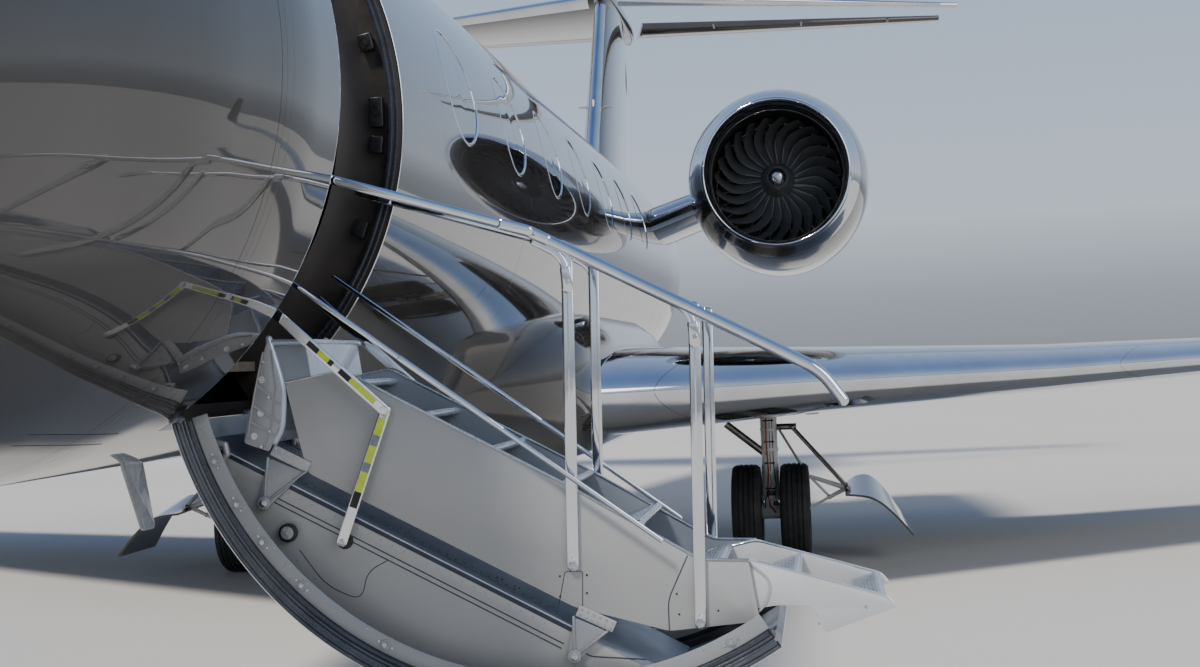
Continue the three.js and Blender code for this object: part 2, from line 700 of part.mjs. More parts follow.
const ENGINE_PARTS = [
  { name: "nacelle", body: nacelle(), finish: "paint" },
  { name: "engine_core", body: engineCore(), finish: "steel" },
  { name: "fan", body: fan(), finish: "dark" },
  { name: "pylon", body: pylon, finish: "paint" },
];
ENGINE_PARTS.forEach(({ name, body, finish }) => {
  piece(`${name}_port`, body, finish);
  piece(`${name}_starboard`, mirrored(body), finish);
});

// Wheels and tyres, turned about a cross axle
const WHEEL_SIDES = 20;

function wheelBody(y, z, centres, rim, half, axle) {
  const [low, high] = [Math.min(...centres) - half, Math.max(...centres) + half];
  const parts = [rod([low, y, z], [high, y, z], axle, 16)];
  centres.forEach((x) => {
    const profile = [[0, x - half], [rim, x - half], [rim, x + half], [0, x + half]];
    parts.push(turnedAlongX(profile, y, z, WHEEL_SIDES));
  });
  return join(...parts);
}

function tyre(x, y, z, radius, half, rim) {
  const inner = rim + GAP;
  const shoulder = (radius - inner) * 0.2;
  const profile = closed([
    [inner, x - half * 0.7], [inner + shoulder, x - half], [radius - shoulder * 1.4, x - half],
    [radius, x - half * 0.5], [radius, x + half * 0.5],
    [radius - shoulder * 1.4, x + half], [inner + shoulder, x + half], [inner, x + half * 0.7],
  ]);
  return turnedAlongX(profile, y, z, WHEEL_SIDES);
}

// Main gear
const MAIN = { x: 2480, station: 15900, radius: 444.5, half: 140, rim: 262, rimHalf: 92, twin: 225 };
const AXLE_RADIUS = 45;
const BORE_GAP = 1;

function mainLeg() {
  const { x, station, radius } = MAIN;
  const y = yAt(station);
  const strut = rod([x, y, radius + 110], [x, y, 1640], 72, 16);
  const piston = rod([x, y, radius + 20], [x, y, radius + 200], 50, 16);
  const barrel = rod([x - 85, y, radius], [x + 85, y, radius], 78, 20);
  const bore = rod([x - 90, y, radius], [x + 90, y, radius], AXLE_RADIUS + BORE_GAP, 20);
  const brace = rod([x - 40, y, 980], [x - 430, y - 40, 1300], 38, 10);
  const links = rodChain([[x, y + 60, 1000], [x, y + 290, 760], [x, y + 60, 520]], 26);
  return join(strut, piston, barrel, brace, links).subtract(bore)
    .subtract(wingGrown).subtract(fairingSpace);
}

const fairingSpace = loft(FAIRING_ROWS.map((row) => fairingRing(row, -GAP)));
// Main gear door: a twisted sheet whose rear edge stands higher than its front edge by the rise
const DOOR_ROWS = [
  { x: 3170, z: 635, rise: 30 },
  { x: 3280, z: 665, rise: 110 },
  { x: 3390, z: 660, rise: 140 },
  { x: 3480, z: 610, rise: 130 },
  { x: 3560, z: 530, rise: 100 },
  { x: 3670, z: 390, rise: 50 },
  { x: 3780, z: 230, rise: 0 },
];
const DOOR_DEEP = 36;
const DOOR_HALF = 470;

// Curve beside an open curve, to its right by a distance
function beside(points, distance) {
  return points.map((point, i) => {
    const before = points[Math.max(0, i - 1)];
    const after = points[Math.min(points.length - 1, i + 1)];
    const [u, v] = [after[0] - before[0], after[1] - before[1]];
    const length = Math.hypot(u, v);
    return [point[0] + (distance * v) / length, point[1] - (distance * u) / length];
  });
}

function mainDoor() {
  const y = yAt(MAIN.station);
  const corner = (row, end, below) => [row.x, y + end * DOOR_HALF, row.z + (end * row.rise) / 2 - below];
  const strips = DOOR_ROWS.slice(1).map((row, k) => loft([-1, 1].map((end) => [
    corner(DOOR_ROWS[k], end, DOOR_DEEP), corner(row, end, DOOR_DEEP),
    corner(row, end, 0), corner(DOOR_ROWS[k], end, 0),
  ])));
  const rods = [-160, 160].map((dy) => rod([2700, y + dy * 0.2, 1230], [3190, y + dy, 650], 20, 10));
  const lug = rod([MAIN.x + 72 + GAP * 2, y, 1235], [2740, y, 1235], 34, 12);
  const bar = rod([3205, y - 200, 655], [3205, y + 200, 655], 24, 10);
  return join(...strips, ...rods, lug, bar).subtract(wingGrown);
}

const mainY = yAt(MAIN.station);
const mainCentres = [MAIN.x - MAIN.twin, MAIN.x + MAIN.twin];
const mainWheels = wheelBody(mainY, MAIN.radius, mainCentres, MAIN.rim, MAIN.rimHalf, AXLE_RADIUS);
const MAIN_PARTS = [
  { name: "main_gear_leg", body: mainLeg(), finish: "leg" },
  { name: "main_gear_door", body: mainDoor(), finish: "paint" },
  { name: "main_wheels", body: mainWheels, finish: "leg" },
];
mainCentres.forEach((x, i) => {
  const body = tyre(x, mainY, MAIN.radius, MAIN.radius, MAIN.half, MAIN.rim);
  MAIN_PARTS.push({ name: i === 0 ? "main_tyre_inner" : "main_tyre_outer", body, finish: "tyre" });
});
MAIN_PARTS.forEach(({ name, body, finish }) => {
  piece(`${name}_port`, body, finish);
  piece(`${name}_starboard`, mirrored(body), finish);
});

// Nose gear with a steered fork
const NOSE = { station: 2900, radius: 270, half: 90, rim: 150, rimHalf: 60, twin: 150, axle: 32 };

function noseLeg() {
  const y = yAt(NOSE.station);
  const strut = rod([0, y, 700], [0, y, 1900], 62, 16);
  const brace = rod([0, y + 20, 900], [0, y - 760, 1800], 32, 10);
  return strut.add(brace).subtract(hullGrown);
}

function noseFork() {
  const y = yAt(NOSE.station);
  const collar = rod([0, y, 560], [0, y, 700 - GAP], 72, 16);
  const piston = rod([0, y, NOSE.radius + 20], [0, y, 600], 42, 16);
  const barrel = rod([-58, y, NOSE.radius], [58, y, NOSE.radius], 58, 20);
  const bore = rod([-70, y, NOSE.radius], [70, y, NOSE.radius], NOSE.axle + BORE_GAP, 20);
  return join(collar, piston, barrel).subtract(bore);
}

const noseY = yAt(NOSE.station);
piece("nose_gear_leg", noseLeg(), "leg");
piece("nose_gear_fork", noseFork(), "leg");
const noseCentres = [-NOSE.twin, NOSE.twin];
piece("nose_wheels",
  wheelBody(noseY, NOSE.radius, noseCentres, NOSE.rim, NOSE.rimHalf, NOSE.axle), "leg");
["starboard", "port"].forEach((side, i) => {
  const x = noseCentres[i];
  piece(`nose_tyre_${side}`, tyre(x, noseY, NOSE.radius, NOSE.radius, NOSE.half, NOSE.rim), "tyre");
});

// Airstair, drawn open: the door turns about its sill and carries the steps inside it
const SILL_HINGE = [731, 1754];
const OPEN_TURN = -107.8;
const DOOR_GAP = 9;
const DOOR_MIDDLE = (DOORWAY.from + DOORWAY.to) / 2;
const SKIN = { outer: HULL_RADIUS, inner: 1345, rimInner: 1290, rimWide: 12 };
const DOOR_STEPS = 14;

// Side lanes of the front links, as stations; the rear ones mirror about the door's middle
const LANES = {
  upperRail: [4876, 4886],
  pushRod: [4891, 4901],
  upperStay: [4906, 4916],
  lowerStay: [4921, 4931],
  handrail: [4936, 4946],
  post: [4951, 4961],
  panel: [4966, 4982],
  extension: [4988, 5000],
};
const ends = [
  { side: "front", lane: ([a, b]) => [yAt(a), yAt(b)] },
  { side: "rear", lane: ([a, b]) => [yAt(2 * DOOR_MIDDLE - b), yAt(2 * DOOR_MIDDLE - a)] },
];

function turnedAbout([x, z], [cx, cz], degrees) {
  const turn = radians(degrees);
  const [u, v] = [x - cx, z - cz];
  return [cx + u * Math.cos(turn) - v * Math.sin(turn), cz + u * Math.sin(turn) + v * Math.cos(turn)];
}

const OPEN_CENTRE = turnedAbout([0, HULL_CENTRE_Z], SILL_HINGE, OPEN_TURN);
const EDGE_ANGLE = (DOOR_GAP / HULL_RADIUS) * (180 / Math.PI);
const DOOR_LOW = DOORWAY.low + OPEN_TURN + EDGE_ANGLE;
const DOOR_HIGH = DOORWAY.high + OPEN_TURN - EDGE_ANGLE;

function band(low, high, inner, outer, steps, y0, y1) {
  const outside = sectorPoints(OPEN_CENTRE, low, high, outer, steps);
  const inside = sectorPoints(OPEN_CENTRE, low, high, inner, steps).reverse();
  return crossPlate([...outside, ...inside], y0, y1);
}

// Pin along the hinge direction, through one point of the cross view
const pinAt = ([x, z], radius, y0, y1, sides = 12) => rod([x, y0, z], [x, y1, z], radius, sides);

// Flat bar with round ends between two points of the cross view
const LINK_STEPS = 4;
function link(from, to, half, [y0, y1]) {
  const turn = (Math.atan2(to[1] - from[1], to[0] - from[0]) * 180) / Math.PI;
  const points = [
    ...sectorPoints(to, turn - 90, turn + 90, half, LINK_STEPS),
    ...sectorPoints(from, turn + 90, turn + 270, half, LINK_STEPS),
  ];
  return crossPlate(points, y0, y1);
}

const linkChain = (points, half, lane) => join(
  ...points.slice(1).map((to, i) => link(points[i], to, half, lane)));

// Inner box of the door, a D between the skin and a straight inner panel
const INNER_BOX = { low: 197.4, high: 286.6, plate: 18 };
const HINGE_BARREL = { radius: 16, stations: [[4880, 4970], [5680, 5770]] };
const STAY = { pivot: [1030, 2190], elbow: [1483, 1765], anchor: [1312, 1313], half: 19 };
const STRIP = { u: 0.883, v: -0.4695, foot: [1624.7, 1245.4] };
const onStrip = (along, off) => [
  STRIP.foot[0] + along * STRIP.u - off * STRIP.v,
  STRIP.foot[1] + along * STRIP.v + off * STRIP.u,
];

function airstairDoor() {
  const [y0, y1] = [yAt(DOORWAY.from + DOOR_GAP), yAt(DOORWAY.to - DOOR_GAP)];
  const skin = band(DOOR_LOW, DOOR_HIGH, SKIN.inner, SKIN.outer, DOOR_STEPS, y0, y1);
  const rims = [[y0, y0 + SKIN.rimWide], [y1 - SKIN.rimWide, y1]].map(([a, b]) =>
    band(DOOR_LOW, DOOR_HIGH, SKIN.rimInner, SKIN.outer, DOOR_STEPS, a, b));
  const arc = sectorPoints(OPEN_CENTRE, INNER_BOX.low, INNER_BOX.high, SKIN.inner + 5, 12);
  const sides = ends.map(({ lane }) => crossPlate(arc, ...lane(LANES.panel)));
  const half = 940;
  const strip = [onStrip(-half, 0), onStrip(half, 0), onStrip(half - 30, -INNER_BOX.plate),
    onStrip(30 - half, -INNER_BOX.plate)];
  const inner = crossPlate(strip, yAt(LANES.panel[0]), yAt(2 * DOOR_MIDDLE - LANES.panel[0]));
  const slot = box(1540, 1700, yAt(5200), yAt(5450), 1080, 1500);
  const barrels = HINGE_BARREL.stations.map(([a, b]) =>
    pinAt(SILL_HINGE, HINGE_BARREL.radius, yAt(a), yAt(b)));
  const anchors = ends.map(({ side, lane }) => {
    const [a, b] = lane([LANES.lowerStay[1], LANES.panel[0]]);
    return pinAt(STAY.anchor, 18, a + (side === "front" ? GAP : -10), b + (side === "front" ? 10 : -GAP));
  });
  return join(skin, ...rims, ...sides, inner, ...barrels, ...anchors).subtract(slot);
}
piece("airstair_door", airstairDoor(), "paint");

// Flight of steps between two side panels
const FLIGHT_SIDE = [
  [1113, 1873], [1320, 1911], [2097, 1489], [2555, 1216], [2720, 1210], [2750, 1000],
  [2440, 973], [2115, 1062], [1184, 1555],
];
const FEET = [[-480, -400], [400, 480]];
const LIP = [[1064, 2030], [1112, 1849], [1100, 1712], [1073, 1667]];
const NOSINGS = [[1350, 1880], [1594, 1757], [1848, 1631], [2106, 1498], [2364, 1364]];
const FAR_NOSINGS = [[2628, 1204], [2891, 1160], [3178, 1086]];
const TREAD = { deep: 200, thick: 26, tilt: 18 };
const POSTS = [
  { name: "post_1", foot: [2117, 1206], top: [2136, 2285] },
  { name: "post_2", foot: [2549, 1000], top: [2568, 2079] },
];
const FOLD_PIVOT = [2530, 1120];

function treadAt([x, z], y0, y1, deep = TREAD.deep) {
  const corners = [[0, 0], [0, -TREAD.thick], [-deep, -TREAD.thick], [-deep, 0]];
  const points = corners.map(([u, v]) => turnedAbout([x + u, z + v], [x, z], TREAD.tilt));
  return crossPlate(points.reverse(), y0, y1);
}

const inLane = (side, [a, b], inward, outward) => (
  side === "front" ? [a - outward, b + inward] : [a - inward, b + outward]);

function stairFlight() {
  const parts = [];
  ends.forEach(({ side, lane }) => {
    const [y0, y1] = lane(LANES.panel);
    parts.push(crossPlate([...FLIGHT_SIDE].reverse(), y0, y1));
    FEET.forEach(([a, b]) => {
      parts.push(crossPlate([onStrip(a, GAP), onStrip(b, GAP), onStrip(b, 90), onStrip(a, 90)], y0, y1));
    });
    POSTS.forEach(({ foot }) => {
      const [a, b] = inLane(side, [y0, y1], -4, LANES.panel[0] - LANES.post[1] - GAP);
      parts.push(pinAt(foot, 18, a, b));
    });
    const [a, b] = inLane(side, [y0, y1], LANES.extension[0] - LANES.panel[1] - GAP, -4);
    parts.push(pinAt(FOLD_PIVOT, 18, a, b));
  });
  const [y0, y1] = [yAt(LANES.panel[0] + 4), yAt(2 * DOOR_MIDDLE - LANES.panel[0] - 4)];
  NOSINGS.forEach((nosing) => parts.push(treadAt(nosing, y0, y1)));
  parts.push(crossPlate([...LIP, ...beside(LIP, -16).reverse()], y0, y1));
  return join(...parts);
}
piece("stair_flight", stairFlight(), "leg");

// Folding extension below the flight
const EXTENSION_SIDE = [
  [2470, 1000], [2533, 1175], [2722, 1212], [3188, 1075], [3216, 1038], [2970, 952],
  [2930, 1045], [2806, 1050],
];
function stairExtension() {
  const parts = ends.map(({ lane }) => crossPlate([...EXTENSION_SIDE].reverse(), ...lane(LANES.extension)));
  const [y0, y1] = [yAt(LANES.extension[0] + 4), yAt(2 * DOOR_MIDDLE - LANES.extension[0] - 4)];
  FAR_NOSINGS.forEach((nosing) => parts.push(treadAt(nosing, y0, y1, 110)));
  return join(...parts);
}
piece("stair_extension", stairExtension(), "leg");

// Stays, push rods, posts and rails on both sides of the steps
const RAIL = { pivot: [1200, 2613], collar: [2011, 2363], end: [2988, 1848], bend: [3061, 1744], half: 20 };
const PUSH_ROD = { pivot: [1090, 2281], end: [2429, 1292], half: 9 };

function handrail(side, lane, y) {
  const bar = linkChain([RAIL.collar, RAIL.end, RAIL.bend], RAIL.half, y);
  const [a, b] = inLane(side, y, LANES.post[0] - LANES.handrail[1] - GAP, -4);
  const pins = POSTS.map(({ top }) => pinAt(top, 12, a, b, 8));
  return join(bar, ...pins);
}

ends.forEach(({ side, lane }) => {
  const lanes = Object.fromEntries(Object.entries(LANES).map(([name, y]) => [name, lane(y)]));
  piece(`stay_upper_${side}`, link(STAY.pivot, STAY.elbow, STAY.half, lanes.upperStay), "bare");
  piece(`stay_lower_${side}`, link(STAY.anchor, STAY.elbow, STAY.half, lanes.lowerStay), "bare");
  piece(`rail_upper_${side}`, link(RAIL.pivot, RAIL.collar, RAIL.half, lanes.upperRail), "bare");
  piece(`handrail_${side}`, handrail(side, lane, lanes.handrail), "bare");
  piece(`push_rod_${side}`, link(PUSH_ROD.pivot, PUSH_ROD.end, PUSH_ROD.half, lanes.pushRod), "bare");
  POSTS.forEach(({ name, foot, top }) => {
    piece(`${name}_${side}`, link(foot, top, 21, lanes.post), "bare");
  });
});

// Pivot pins on the door jambs, each on a lug inside the cabin wall
const LUG = { half: 28, wide: 32, depth: 25, pin: 12 };

function jambPins() {
  const pivots = [
    { at: STAY.pivot, reach: LANES.upperStay[0] },
    { at: RAIL.pivot, reach: LANES.upperRail[0] },
    { at: PUSH_ROD.pivot, reach: LANES.pushRod[0] },
  ];
  const parts = [];
  pivots.forEach(({ at, reach }) => {
    const [u, v] = [at[0], at[1] - HULL_CENTRE_Z];
    const radius = Math.hypot(u, v);
    const side = [(-v / radius) * LUG.half, (u / radius) * LUG.half];
    const corner = (r, sign) => [(u / radius) * r + sign * side[0],
      HULL_CENTRE_Z + (v / radius) * r + sign * side[1]];
    const [low, high] = [radius - LUG.depth, HULL_RADIUS - 30];
    const block = [corner(low, -1), corner(high, -1), corner(high, 1), corner(low, 1)];
    ends.forEach(({ side: end, lane }) => {
      parts.push(crossPlate(block, ...lane([DOORWAY.from - LUG.wide, DOORWAY.from - 4])));
      const [a, b] = lane([DOORWAY.from - LUG.wide / 2, reach]);
      parts.push(pinAt(at, LUG.pin, end === "front" ? a : a + GAP, end === "front" ? b - GAP : b, 10));
    });
  });
  return parts;
}

function hingeGrooves() {
  return join(...HINGE_BARREL.stations.map(([a, b]) =>
    pinAt(SILL_HINGE, HINGE_BARREL.radius + 0.6, yAt(a - 2), yAt(b + 2))));
}

SECTIONS.forEach((section) => piece(section.name, hullSection(section), "paint"));

export default group;
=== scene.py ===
# Business jet with its airstair open: surfaces and small parts over the measured frame
import math
import bmesh
import bpy
from mathutils import Matrix, Vector


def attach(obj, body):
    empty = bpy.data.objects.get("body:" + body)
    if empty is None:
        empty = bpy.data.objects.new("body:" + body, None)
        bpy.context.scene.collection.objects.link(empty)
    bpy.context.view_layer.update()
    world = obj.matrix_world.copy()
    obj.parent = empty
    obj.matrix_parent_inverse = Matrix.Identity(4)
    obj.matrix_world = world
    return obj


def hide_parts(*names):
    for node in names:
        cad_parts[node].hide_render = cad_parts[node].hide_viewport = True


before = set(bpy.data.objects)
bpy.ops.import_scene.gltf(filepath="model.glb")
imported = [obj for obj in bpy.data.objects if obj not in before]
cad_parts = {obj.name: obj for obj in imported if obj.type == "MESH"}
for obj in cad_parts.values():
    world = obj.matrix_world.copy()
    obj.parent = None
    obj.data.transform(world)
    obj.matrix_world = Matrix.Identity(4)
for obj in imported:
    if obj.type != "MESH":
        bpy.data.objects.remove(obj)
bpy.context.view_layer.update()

# Driving sizes, in millimetres, with stations measured from the nose
NOSE_STATION = 14700
HULL_RADIUS = 1385
HULL_CENTRE = 2930
SKIN_WALL = 60
HULL_ROWS = [
    # station, half width, top, bottom
    (0, 30, 2450, 2390), (250, 260, 2680, 2200), (700, 470, 2890, 2030), (1300, 670, 3110, 1885),
    (2100, 880, 3380, 1765), (2700, 1060, 3790, 1680), (3300, 1195, 4110, 1620),
    (4000, 1325, 4270, 1570), (4600, 1385, 4315, 1545), (18500, 1385, 4315, 1545),
    (20300, 1350, 4310, 1620), (22200, 1230, 4290, 1890), (24200, 1015, 4250, 2310),
    (26000, 745, 4180, 2760), (27500, 460, 4090, 3200), (28600, 235, 4010, 3540),
]
DOORWAY = {"from": 4850, "to": 5800, "low": -58.1, "high": 51.0}
WINDOW = {"first": 7150, "pitch": 1450, "count": 7, "z": 3230, "long": 355, "high": 278}
SIDES = ((1, "port"), (-1, "starboard"))


def at(x, station, z):
    return Vector((x, station - NOSE_STATION, z)) / 1000


def spread(stops, steps):
    """Even values between neighbouring stops, with so many steps in each stretch."""
    values = [stops[0]]
    for low, high, count in zip(stops, stops[1:], steps):
        values += [low + (high - low) * (k + 1) / count for k in range(count)]
    return values


def row_at(rows, place):
    """A row of the table at any place, smooth and without overshoot between the given rows."""
    k = max(1, next((i for i, row in enumerate(rows) if row[0] >= place), len(rows) - 1))
    before, after = rows[k - 1], rows[k]
    wide = after[0] - before[0]
    part = (place - before[0]) / wide
    values = []
    for column in range(1, len(before)):
        rise = (after[column] - before[column]) / wide
        slopes = []
        for end, far in ((k - 1, k - 2), (k, k + 1)):
            if not 0 <= far < len(rows):
                slopes.append(rise)
                continue
            other = (rows[far][column] - rows[end][column]) / (rows[far][0] - rows[end][0])
            same_way = other * rise > 0
            slopes.append(2 * other * rise / (other + rise) if same_way else 0)
        a, b = slopes[0] * wide, slopes[1] * wide
        low, high = before[column], after[column]
        gain = high - low
        values.append(low + part * (a + part * (3 * gain - 2 * a - b + part * (a + b - 2 * gain))))
    return values


# Meshes

def surface(places_u, places_v, place, keep=None, closed=False):
    """A grid of quads whose corners lie where place(u, v) says, less the faces that keep(u, v) drops."""
    bm = bmesh.new()
    bmesh.ops.create_grid(bm, x_segments=len(places_u) - 1, y_segments=len(places_v) - 1, size=1)
    spots = {}
    for vert in bm.verts:
        u = places_u[round((vert.co.x + 1) / 2 * (len(places_u) - 1))]
        v = places_v[round((vert.co.y + 1) / 2 * (len(places_v) - 1))]
        spots[vert] = (u, v)
    if keep:
        gone = []
        for face in bm.faces:
            middle = [sum(spots[vert][k] for vert in face.verts) / len(face.verts) for k in (0, 1)]
            if not keep(*middle):
                gone.append(face)
        bmesh.ops.delete(bm, geom=gone, context="FACES")
    for vert in bm.verts:
        vert.co = place(*spots[vert])
    if closed:
        bmesh.ops.remove_doubles(bm, verts=bm.verts, dist=0.00002)
    return bm


def plate(outline, low, high, along="y"):
    """A flat sheet: an outline in the cross view (x, z), or the side view (station, z), made thick."""
    bm = bmesh.new()
    if along == "y":
        verts = [bm.verts.new(at(x, low, z)) for x, z in outline]
        push = Vector((0, (high - low) / 1000, 0))
    elif along == "x":
        verts = [bm.verts.new(at(low, station, z)) for station, z in outline]
        push = Vector(((high - low) / 1000, 0, 0))
    else:
        verts = [bm.verts.new(at(x, station, low)) for x, station in outline]
        push = Vector((0, 0, (high - low) / 1000))
    face = bm.faces.new(verts)
    made = bmesh.ops.extrude_face_region(bm, geom=[face])
    moved = [item for item in made["geom"] if isinstance(item, bmesh.types.BMVert)]
    bmesh.ops.translate(bm, verts=moved, vec=push)
    bmesh.ops.recalc_face_normals(bm, faces=bm.faces)
    return bm


def block(x0, x1, station0, station1, z0, z1):
    return plate([(x0, z0), (x1, z0), (x1, z1), (x0, z1)], station0, station1)


def rounded(bm, size, steps=2, sharper_than=30):
    """Rounds the edges that turn by more than the given angle."""
    edges = [e for e in bm.edges if len(e.link_faces) == 2
             and e.calc_face_angle(0) > math.radians(sharper_than)]
    bmesh.ops.bevel(bm, geom=edges, offset=size / 1000, affect="EDGES", segments=steps, profile=0.5,
                    material=-1, clamp_overlap=True)
    return bm


def rod(start, end, radius, sides=24, far_radius=None):
    bm = bmesh.new()
    line = end - start
    turn = line.to_track_quat("Z", "Y").to_matrix().to_4x4()
    matrix = Matrix.Translation((start + end) / 2) @ turn
    bmesh.ops.create_cone(bm, cap_ends=True, segments=sides, radius1=radius / 1000,
                          radius2=(far_radius if far_radius is not None else radius) / 1000,
                          depth=line.length, matrix=matrix)
    return bm


def ball(centre, radius, sides=16):
    bm = bmesh.new()
    bmesh.ops.create_uvsphere(bm, u_segments=sides, v_segments=sides // 2, radius=radius / 1000,
                              matrix=Matrix.Translation(centre))
    return bm


def turned(profile, centre, axis="y", sides=48):
    """A profile of (radius, station) or (radius, x) pairs turned about a line through the centre."""
    bm = bmesh.new()
    cx, cstation, cz = centre
    verts = []
    for radius, far in profile:
        spot = at(cx, far, cz + radius) if axis == "y" else at(far, cstation, cz + radius)
        verts.append(bm.verts.new(spot))
    edges = [bm.edges.new(pair) for pair in zip(verts, verts[1:])]
    spin_axis = (0, 1, 0) if axis == "y" else (1, 0, 0)
    bmesh.ops.spin(bm, geom=verts + edges, cent=at(cx, cstation, cz), axis=spin_axis,
                   angle=2 * math.pi, steps=sides, use_merge=True)
    bmesh.ops.remove_doubles(bm, verts=bm.verts, dist=0.00002)
    bmesh.ops.recalc_face_normals(bm, faces=bm.faces)
    return bm


def filleted(points, radius, steps=6):
    """Corners of a path in the cross view turned into arcs."""
    path = [Vector(points[0])]
    for before, corner, after in zip(points, points[1:], points[2:]):
        corner = Vector(corner)
        inward = (Vector(before) - corner).normalized()
        onward = (Vector(after) - corner).normalized()
        reach = min(radius, (Vector(before) - corner).length / 2, (Vector(after) - corner).length / 2)
        start, end = corner + inward * reach, corner + onward * reach
        for k in range(steps + 1):
            t = k / steps
            path.append(start * (1 - t) ** 2 + corner * 2 * t * (1 - t) + end * t ** 2)
    path.append(Vector(points[-1]))
    return path


def bar(points, half, half_wide, middle, roundness=1.0, ends=True, sides=20):
    """A bar along a path in the cross view, centred on a station, with a softly squared section."""
    power = 2 / (2 + 4 * (1 - roundness))
    steps = []
    for k, point in enumerate(points):
        before, after = points[max(0, k - 1)], points[min(len(points) - 1, k + 1)]
        along = (after - before).normalized()
        steps.append((point, along, 1.0))
    if ends:
        caps = []
        for point, along, sign in ((steps[0][0], steps[0][1], -1), (steps[-1][0], steps[-1][1], 1)):
            turns = [math.radians(a) for a in (25, 50, 70, 84)]
            cap = [(point + along * sign * half * math.sin(a), along, math.cos(a)) for a in turns]
            caps.append(cap)
        steps = caps[0][::-1] + steps + caps[1]

    def place(u, v):
        point, along, scale = steps[int(u)]
        normal = Vector((-along.y, along.x))
        c, s = math.cos(v), math.sin(v)
        across = math.copysign(abs(c) ** power, c) * half * scale
        wide = math.copysign(abs(s) ** power, s) * half_wide * scale
        spot = point + normal * across
        return at(spot.x, middle + wide, spot.y)

    turn = [2 * math.pi * k / sides for k in range(sides + 1)]
    bm = surface(list(range(len(steps))), turn, place, closed=True)
    bmesh.ops.holes_fill(bm, edges=[e for e in bm.edges if e.is_boundary], sides=sides + 1)
    bmesh.ops.recalc_face_normals(bm, faces=bm.faces)
    return bm


def pipe(points, radius, sides=12):
    """A round pipe through points in space (x, station, z)."""
    spots = [at(*p) for p in points]
    parts = [rod(a, b, radius, sides) for a, b in zip(spots, spots[1:])]
    parts += [ball(p, radius, sides) for p in spots[1:-1]]
    return joined(*parts)


def joined(*parts):
    """One mesh of several, each kept as it is."""
    whole = bmesh.new()
    for part in parts:
        mesh = bpy.data.meshes.new("part")
        part.to_mesh(mesh)
        whole.from_mesh(mesh)
        bpy.data.meshes.remove(mesh)
        part.free()
    return whole


def mirrored(bm):
    """A copy on the other side of the middle plane."""
    copy = bm.copy()
    bmesh.ops.scale(copy, vec=(-1, 1, 1), verts=copy.verts)
    bmesh.ops.reverse_faces(copy, faces=copy.faces)
    return copy


def piece(name, bm, material, body="airframe", replaces=(), slot=None, sharp=35, thick=None, cut=None):
    """A finished object of the jet: shaded, given its material and tied to its body."""
    mesh = bpy.data.meshes.new(name)
    bm.to_mesh(mesh)
    bm.free()
    obj = bpy.data.objects.new(name, mesh)
    bpy.context.scene.collection.objects.link(obj)
    mesh.materials.append(material)
    if thick is not None:
        wall = obj.modifiers.new("wall", "SOLIDIFY")
        wall.thickness = thick / 1000
        wall.offset = -1
        wall.use_even_offset = True
    if cut is not None:
        opening = obj.modifiers.new("openings", "BOOLEAN")
        opening.object = cut
        opening.solver = "EXACT"
    if thick is not None or cut is not None:
        graph = bpy.context.evaluated_depsgraph_get()
        baked = bpy.data.meshes.new_from_object(obj.evaluated_get(graph))
        obj.modifiers.clear()
        obj.data = baked
        baked.name = name
        bpy.data.meshes.remove(mesh)
    if cut is not None:
        bpy.data.objects.remove(cut)
    obj.data.shade_smooth()
    obj.data.set_sharp_from_angle(angle=math.radians(sharp))
    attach(obj, body)
    if replaces:
        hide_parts(*replaces)
    return obj


def both_sides(name, bm, material, body="airframe", replaces=(), slot=None, **more):
    """A piece on the port side and its mirror on the starboard side."""
    other = mirrored(bm)
    for mesh, side in ((bm, "port"), (other, "starboard")):
        where = body if body == "airframe" else f"{body}_{side}"
        piece(f"{name}_{side}", mesh, material, where, [f"{n}_{side}" for n in replaces], slot, **more)


# Materials

def new_material(name, **sockets):
    """A material whose shader starts with the given even values."""
    material = bpy.data.materials.new(name)
    material.use_nodes = True
    shader = material.node_tree.nodes["Principled BSDF"]
    for socket, value in sockets.items():
        shader.inputs[socket.replace("_", " ").title().replace("Ior", "IOR")].default_value = value
    return material, shader


def add_node(material, kind, **inputs):
    node = material.node_tree.nodes.new(kind)
    for name, value in inputs.items():
        node.inputs[name].default_value = value
    return node


def noise(material, scale, detail=3.0, stretch=None):
    """Noise over the piece's own coordinates, drawn out along an axis if asked."""
    where = add_node(material, "ShaderNodeTexCoord").outputs["Object"]
    links = material.node_tree.links
    if stretch:
        mapping = add_node(material, "ShaderNodeMapping", Scale=stretch)
        links.new(where, mapping.inputs["Vector"])
        where = mapping.outputs["Vector"]
    texture = add_node(material, "ShaderNodeTexNoise", Scale=scale, Detail=detail)
    links.new(where, texture.inputs["Vector"])
    return texture.outputs["Fac"]


def blend_colours(material, factor, dark, light, low=0.3, high=0.7):
    ramp = material.node_tree.nodes.new("ShaderNodeValToRGB")
    ramp.color_ramp.elements[0].position = low
    ramp.color_ramp.elements[0].color = (*dark, 1)
    ramp.color_ramp.elements[1].position = high
    ramp.color_ramp.elements[1].color = (*light, 1)
    material.node_tree.links.new(factor, ramp.inputs["Fac"])
    return ramp.outputs["Color"]


def spread_values(material, factor, low, high):
    ranged = add_node(material, "ShaderNodeMapRange")
    ranged.inputs["From Min"].default_value = 0.3
    ranged.inputs["From Max"].default_value = 0.7
    ranged.inputs["To Min"].default_value = low
    ranged.inputs["To Max"].default_value = high
    material.node_tree.links.new(factor, ranged.inputs["Value"])
    return ranged.outputs["Result"]


def bumped(material, shader, height, strength, distance):
    bump = add_node(material, "ShaderNodeBump", Strength=strength, Distance=distance)
    material.node_tree.links.new(height, bump.inputs["Height"])
    material.node_tree.links.new(bump.outputs["Normal"], shader.inputs["Normal"])


